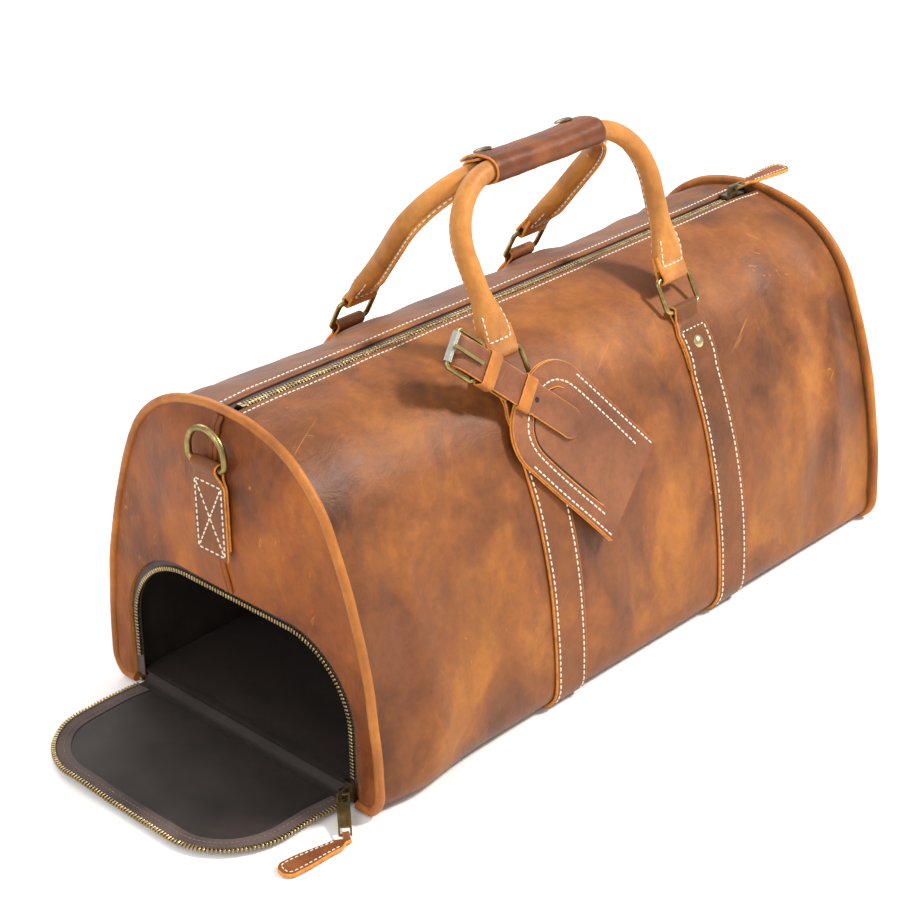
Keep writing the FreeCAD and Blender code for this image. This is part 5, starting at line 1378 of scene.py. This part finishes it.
slot_in = [(-20, -23.6), (-40, -24.2), (-70, -24.4), (-88, -23.4), (-98, -18.5), (-103.5, -10.5), (-105.0, 0), (-103.5, 10.5), (-98, 18.5), (-92, 21.6)]
P, q = tag_line(slot_in, 162.0)
k_ = np.linspace(0, 1, len(P))
wid = 0.85 * np.sin(np.clip(k_ * 9, 0, math.pi / 2)) * np.sin(np.clip((1 - k_) * 5, 0, math.pi / 2)) + 0.06
T = unit(np.gradient(P, axis=0))
Bv = np.cross(T, np.tile(TN, (len(P), 1)))
v, f, mi = ribbon(P, np.tile(TN, (len(P), 1)), Bv, wid, 0.3, m=3)
sl_.add(v, f, 0)
v, f, mi = ribbon(P - Bv * (wid + 0.28)[:, None] * np.sign((P[40] - TG(-60, 0, 162.0)) @ -Bv[40]) + TN * 0.12, np.tile(TN, (len(P), 1)), Bv, 0.34, 0.5, m=2)
sl_.add(v, f, 1)
sl_.done("tag_slot", [M_SLOT_SHADOW, M_EDGE], body="luggage_tag", slot="tag_leather")

# strap of the tag, its keepers and the small band round the ring
pp_ = np.array([(-47.8, 157.6), (-46.0, 159.3), (-43.5, 161.6), (-39.5, 163.2), (-33, 163.9), (-20, 163.95), (0, 163.95), (20, 163.95), (40, 163.95), (55, 163.9), (64, 163.7)])
tip = [(64 + 11 * math.sin(a) - 2.0, 163.6) for a in np.linspace(0.2, math.pi / 2 * 0.97, 9)]
pq = smooth_path([(a, b, 0) for a, b in list(pp_)], 1.2)
tipx = 62.0 + 11.0 * np.sin(np.linspace(0, math.pi / 2 * 0.97, 12))[1:]
pq = np.concatenate([pq[pq[:, 0] <= 62.0], np.stack([tipx, np.full(len(tipx), 163.75), 0 * tipx], 1)])
P = SR(pq[:, 0], 0, pq[:, 1])
SB = unit(SR(0, 1, 0) - SR(0, 0, 0))
SP = unit(SR(1, 0, 0) - SR(0, 0, 0))
T, N_, _ = frames_from(P, np.tile(SB, (len(P), 1)))
N_ = N_ * np.sign(N_ @ TN)[:, None]
W = np.where(pq[:, 0] > 62, np.sqrt(np.maximum(121 - (pq[:, 0] - 62) ** 2, 1.0)), 10.8)
ts = Bag()
v, f, mi = ribbon(P, N_, np.tile(SB, (len(P), 1)), W, 1.65, m=8)
ts.add(v, f, mi)
lowp = smooth_path([(-42, 158.9, 0), (-30, 158.9, 0), (-14, 158.95, 0), (2, 159.0, 0), (8, 159.0, 0)], 2.0)
P = SR(lowp[:, 0], 0, lowp[:, 1] - 0.25)
v, f, mi = ribbon(P, np.tile(TN, (len(P), 1)), np.tile(SB, (len(P), 1)), 10.6, 1.2, m=6)
ts.add(v, f, mi)


def loop_path(hw, s0, s1, r=1.6):
    pts = []
    for (cq, cs, a0) in ((hw - r, s1 - r, 0), (-hw + r, s1 - r, 90), (-hw + r, s0 + r, 180), (hw - r, s0 + r, 270)):
        for a in np.linspace(math.radians(a0), math.radians(a0 + 90), 5):
            pts.append((cq + r * math.cos(a), cs + r * math.sin(a)))
    P = np.array(pts)
    P, _ = resample(np.concatenate([P, P[:1]]), 1.2)
    return P[:-1]


def keeper_obj(bag, p, s0, s1, hw, to, width_dir, Wd, th):
    lp_ = loop_path(hw, s0, s1)
    P = to(p, lp_[:, 0], lp_[:, 1])
    T, N_, _ = frames_from(P, np.tile(width_dir, (len(P), 1)), closed=True)
    v, f, mi = ribbon(P, N_, np.tile(width_dir, (len(P), 1)), Wd, th, m=4, closed=True)
    bag.add(v, f, mi)


# band round the ring's upright wire, in the tag's plane
lpb = loop_path(5.6, 142.1, 157.9, 2.0)
P = TR(-104.5 + lpb[:, 0], 194.5, lpb[:, 1])
YB = unit(TR(0, 1, 0) - TR(0, 0, 0))
T, N_, _ = frames_from(P, np.tile(YB, (len(P), 1)), closed=True)
v, f, mi = ribbon(P, N_, np.tile(YB, (len(P), 1)), 4.0, 1.5, m=4, closed=True)
ts.add(v, f, mi)
# painted shade: a flat dark disc in the slot_shadow colour stands for the shade in the strap's hole
hole = lathe([(1.9, 0), (1.9, 0.12), (0.2, 0.14)], SR(28, 0, 164.75), TN, 18)
ts.add(hole[0], hole[1], 2)
ts.done("tag_strap_leather", [M_TAG, M_EDGE, M_SLOT_SHADOW], body="luggage_tag", slot="tag_leather", replaces=("tag_strap",))
kf_ = Bag()
keeper_obj(kf_, -16.0, 157.4, 165.8, 12.2, SR, SP, 5.0, 1.25)
kf_.done("tag_keeper_fixed_leather", [M_PIPE, M_EDGE], body="luggage_tag", slot="tag_leather", replaces=("tag_keeper_fixed",))
ks_ = Bag()
keeper_obj(ks_, 18.5, 162.35, 165.8, 12.2, SR, SP, 5.0, 1.2)
ks_.done("tag_keeper_sliding_leather", [M_PIPE, M_EDGE], body="tag_keeper", slot="tag_leather", replaces=("tag_keeper_sliding",))

THREAD_BAG.done("bag_stitches", [M_THREAD], body="bag", slot="trim_leather")

# --------------------------------------------------- parts kept as designed
CAD_LOOK = {
    "main_slider": (M_DARKMETAL, 0.45), "main_pull_link": (M_BRASS, 0.25), "shoe_slider": (M_DARKMETAL, 0.45), "shoe_pull_link": (M_BRASS, 0.25),
    "main_zip_stops": (M_TEETH, 0.3), "shoe_zip_stops": (M_TEETH, 0.3),
    "ring_front_shoe_end": (M_BRASS, 0), "ring_front_plain_end": (M_BRASS, 0), "ring_rear_shoe_end": (M_BRASS, 0), "ring_rear_plain_end": (M_BRASS, 0),
    "d_ring_shoe_end": (M_BRASS, 0), "d_ring_plain_end": (M_BRASS, 0),
    "tag_buckle_frame": (M_BRASS, 0), "tag_buckle_prong": (M_BRASS, 0.3), "tag_buckle_roller": (M_NICKEL, 0.25),
    "handle_front_core": (M_ROPE, 0), "handle_rear_core": (M_ROPE, 0), "grip_snap_studs": (M_DARKMETAL, 0.2), "base_board": (M_BOARD, 0.4),
}
for nm, (mat, bev) in CAD_LOOK.items():
    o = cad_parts[nm]
    o.data.materials.clear()
    o.data.materials.append(mat)
    if bev:
        md = o.modifiers.new("bevel", "BEVEL")
        md.width = bev * MM
        md.segments = 2
        md.limit_method = "ANGLE"
        md.angle_limit = math.radians(35)
        md.harden_normals = False

# ------------------------------------------------------------ light, floor
fm, nt, bs, _, _ = nodes_of("pale_floor")
bs.inputs["Base Color"].default_value = (0.92, 0.92, 0.92, 1)
bs.inputs["Roughness"].default_value = 0.6
bs.inputs["Specular IOR Level"].default_value = 0.2
me = bpy.data.meshes.new("floor")
R_ = 6.0
me.from_pydata([(-R_, -R_, -0.0004), (R_, -R_, -0.0004), (R_, R_, -0.0004), (-R_, R_, -0.0004)], [], [(0, 1, 2, 3)])
me.materials.append(fm)
floor = bpy.data.objects.new("floor", me)
SCN.collection.objects.link(floor)

world = bpy.data.worlds.new("studio")
SCN.world = world
world.use_nodes = True
wn = world.node_tree
wn.nodes["Background"].inputs[0].default_value = (1.0, 0.985, 0.965, 1)
wn.nodes["Background"].inputs[1].default_value = 0.80


def area(name, loc, target, size, power, colour=(1, 1, 1)):
    d = bpy.data.lights.new(name, "AREA")
    d.shape = "RECTANGLE"
    d.size, d.size_y = size
    d.energy = power
    d.color = colour
    o = bpy.data.objects.new(name, d)
    SCN.collection.objects.link(o)
    o.location = loc
    o.rotation_euler = (Vector(target) - Vector(loc)).to_track_quat("-Z", "Y").to_euler()
    return o


key = area("key", (1.05, -1.35, 1.95), (0, 0, 0.15), (0.35, 0.35), 74, (1.0, 0.96, 0.90))
fill = area("fill", (-2.2, -0.3, 1.3), (0, 0, 0.12), (1.6, 1.4), 26, (0.97, 0.98, 1.0))
rim = area("rim", (0.4, 1.8, 1.6), (0, 0, 0.2), (1.6, 0.8), 24)
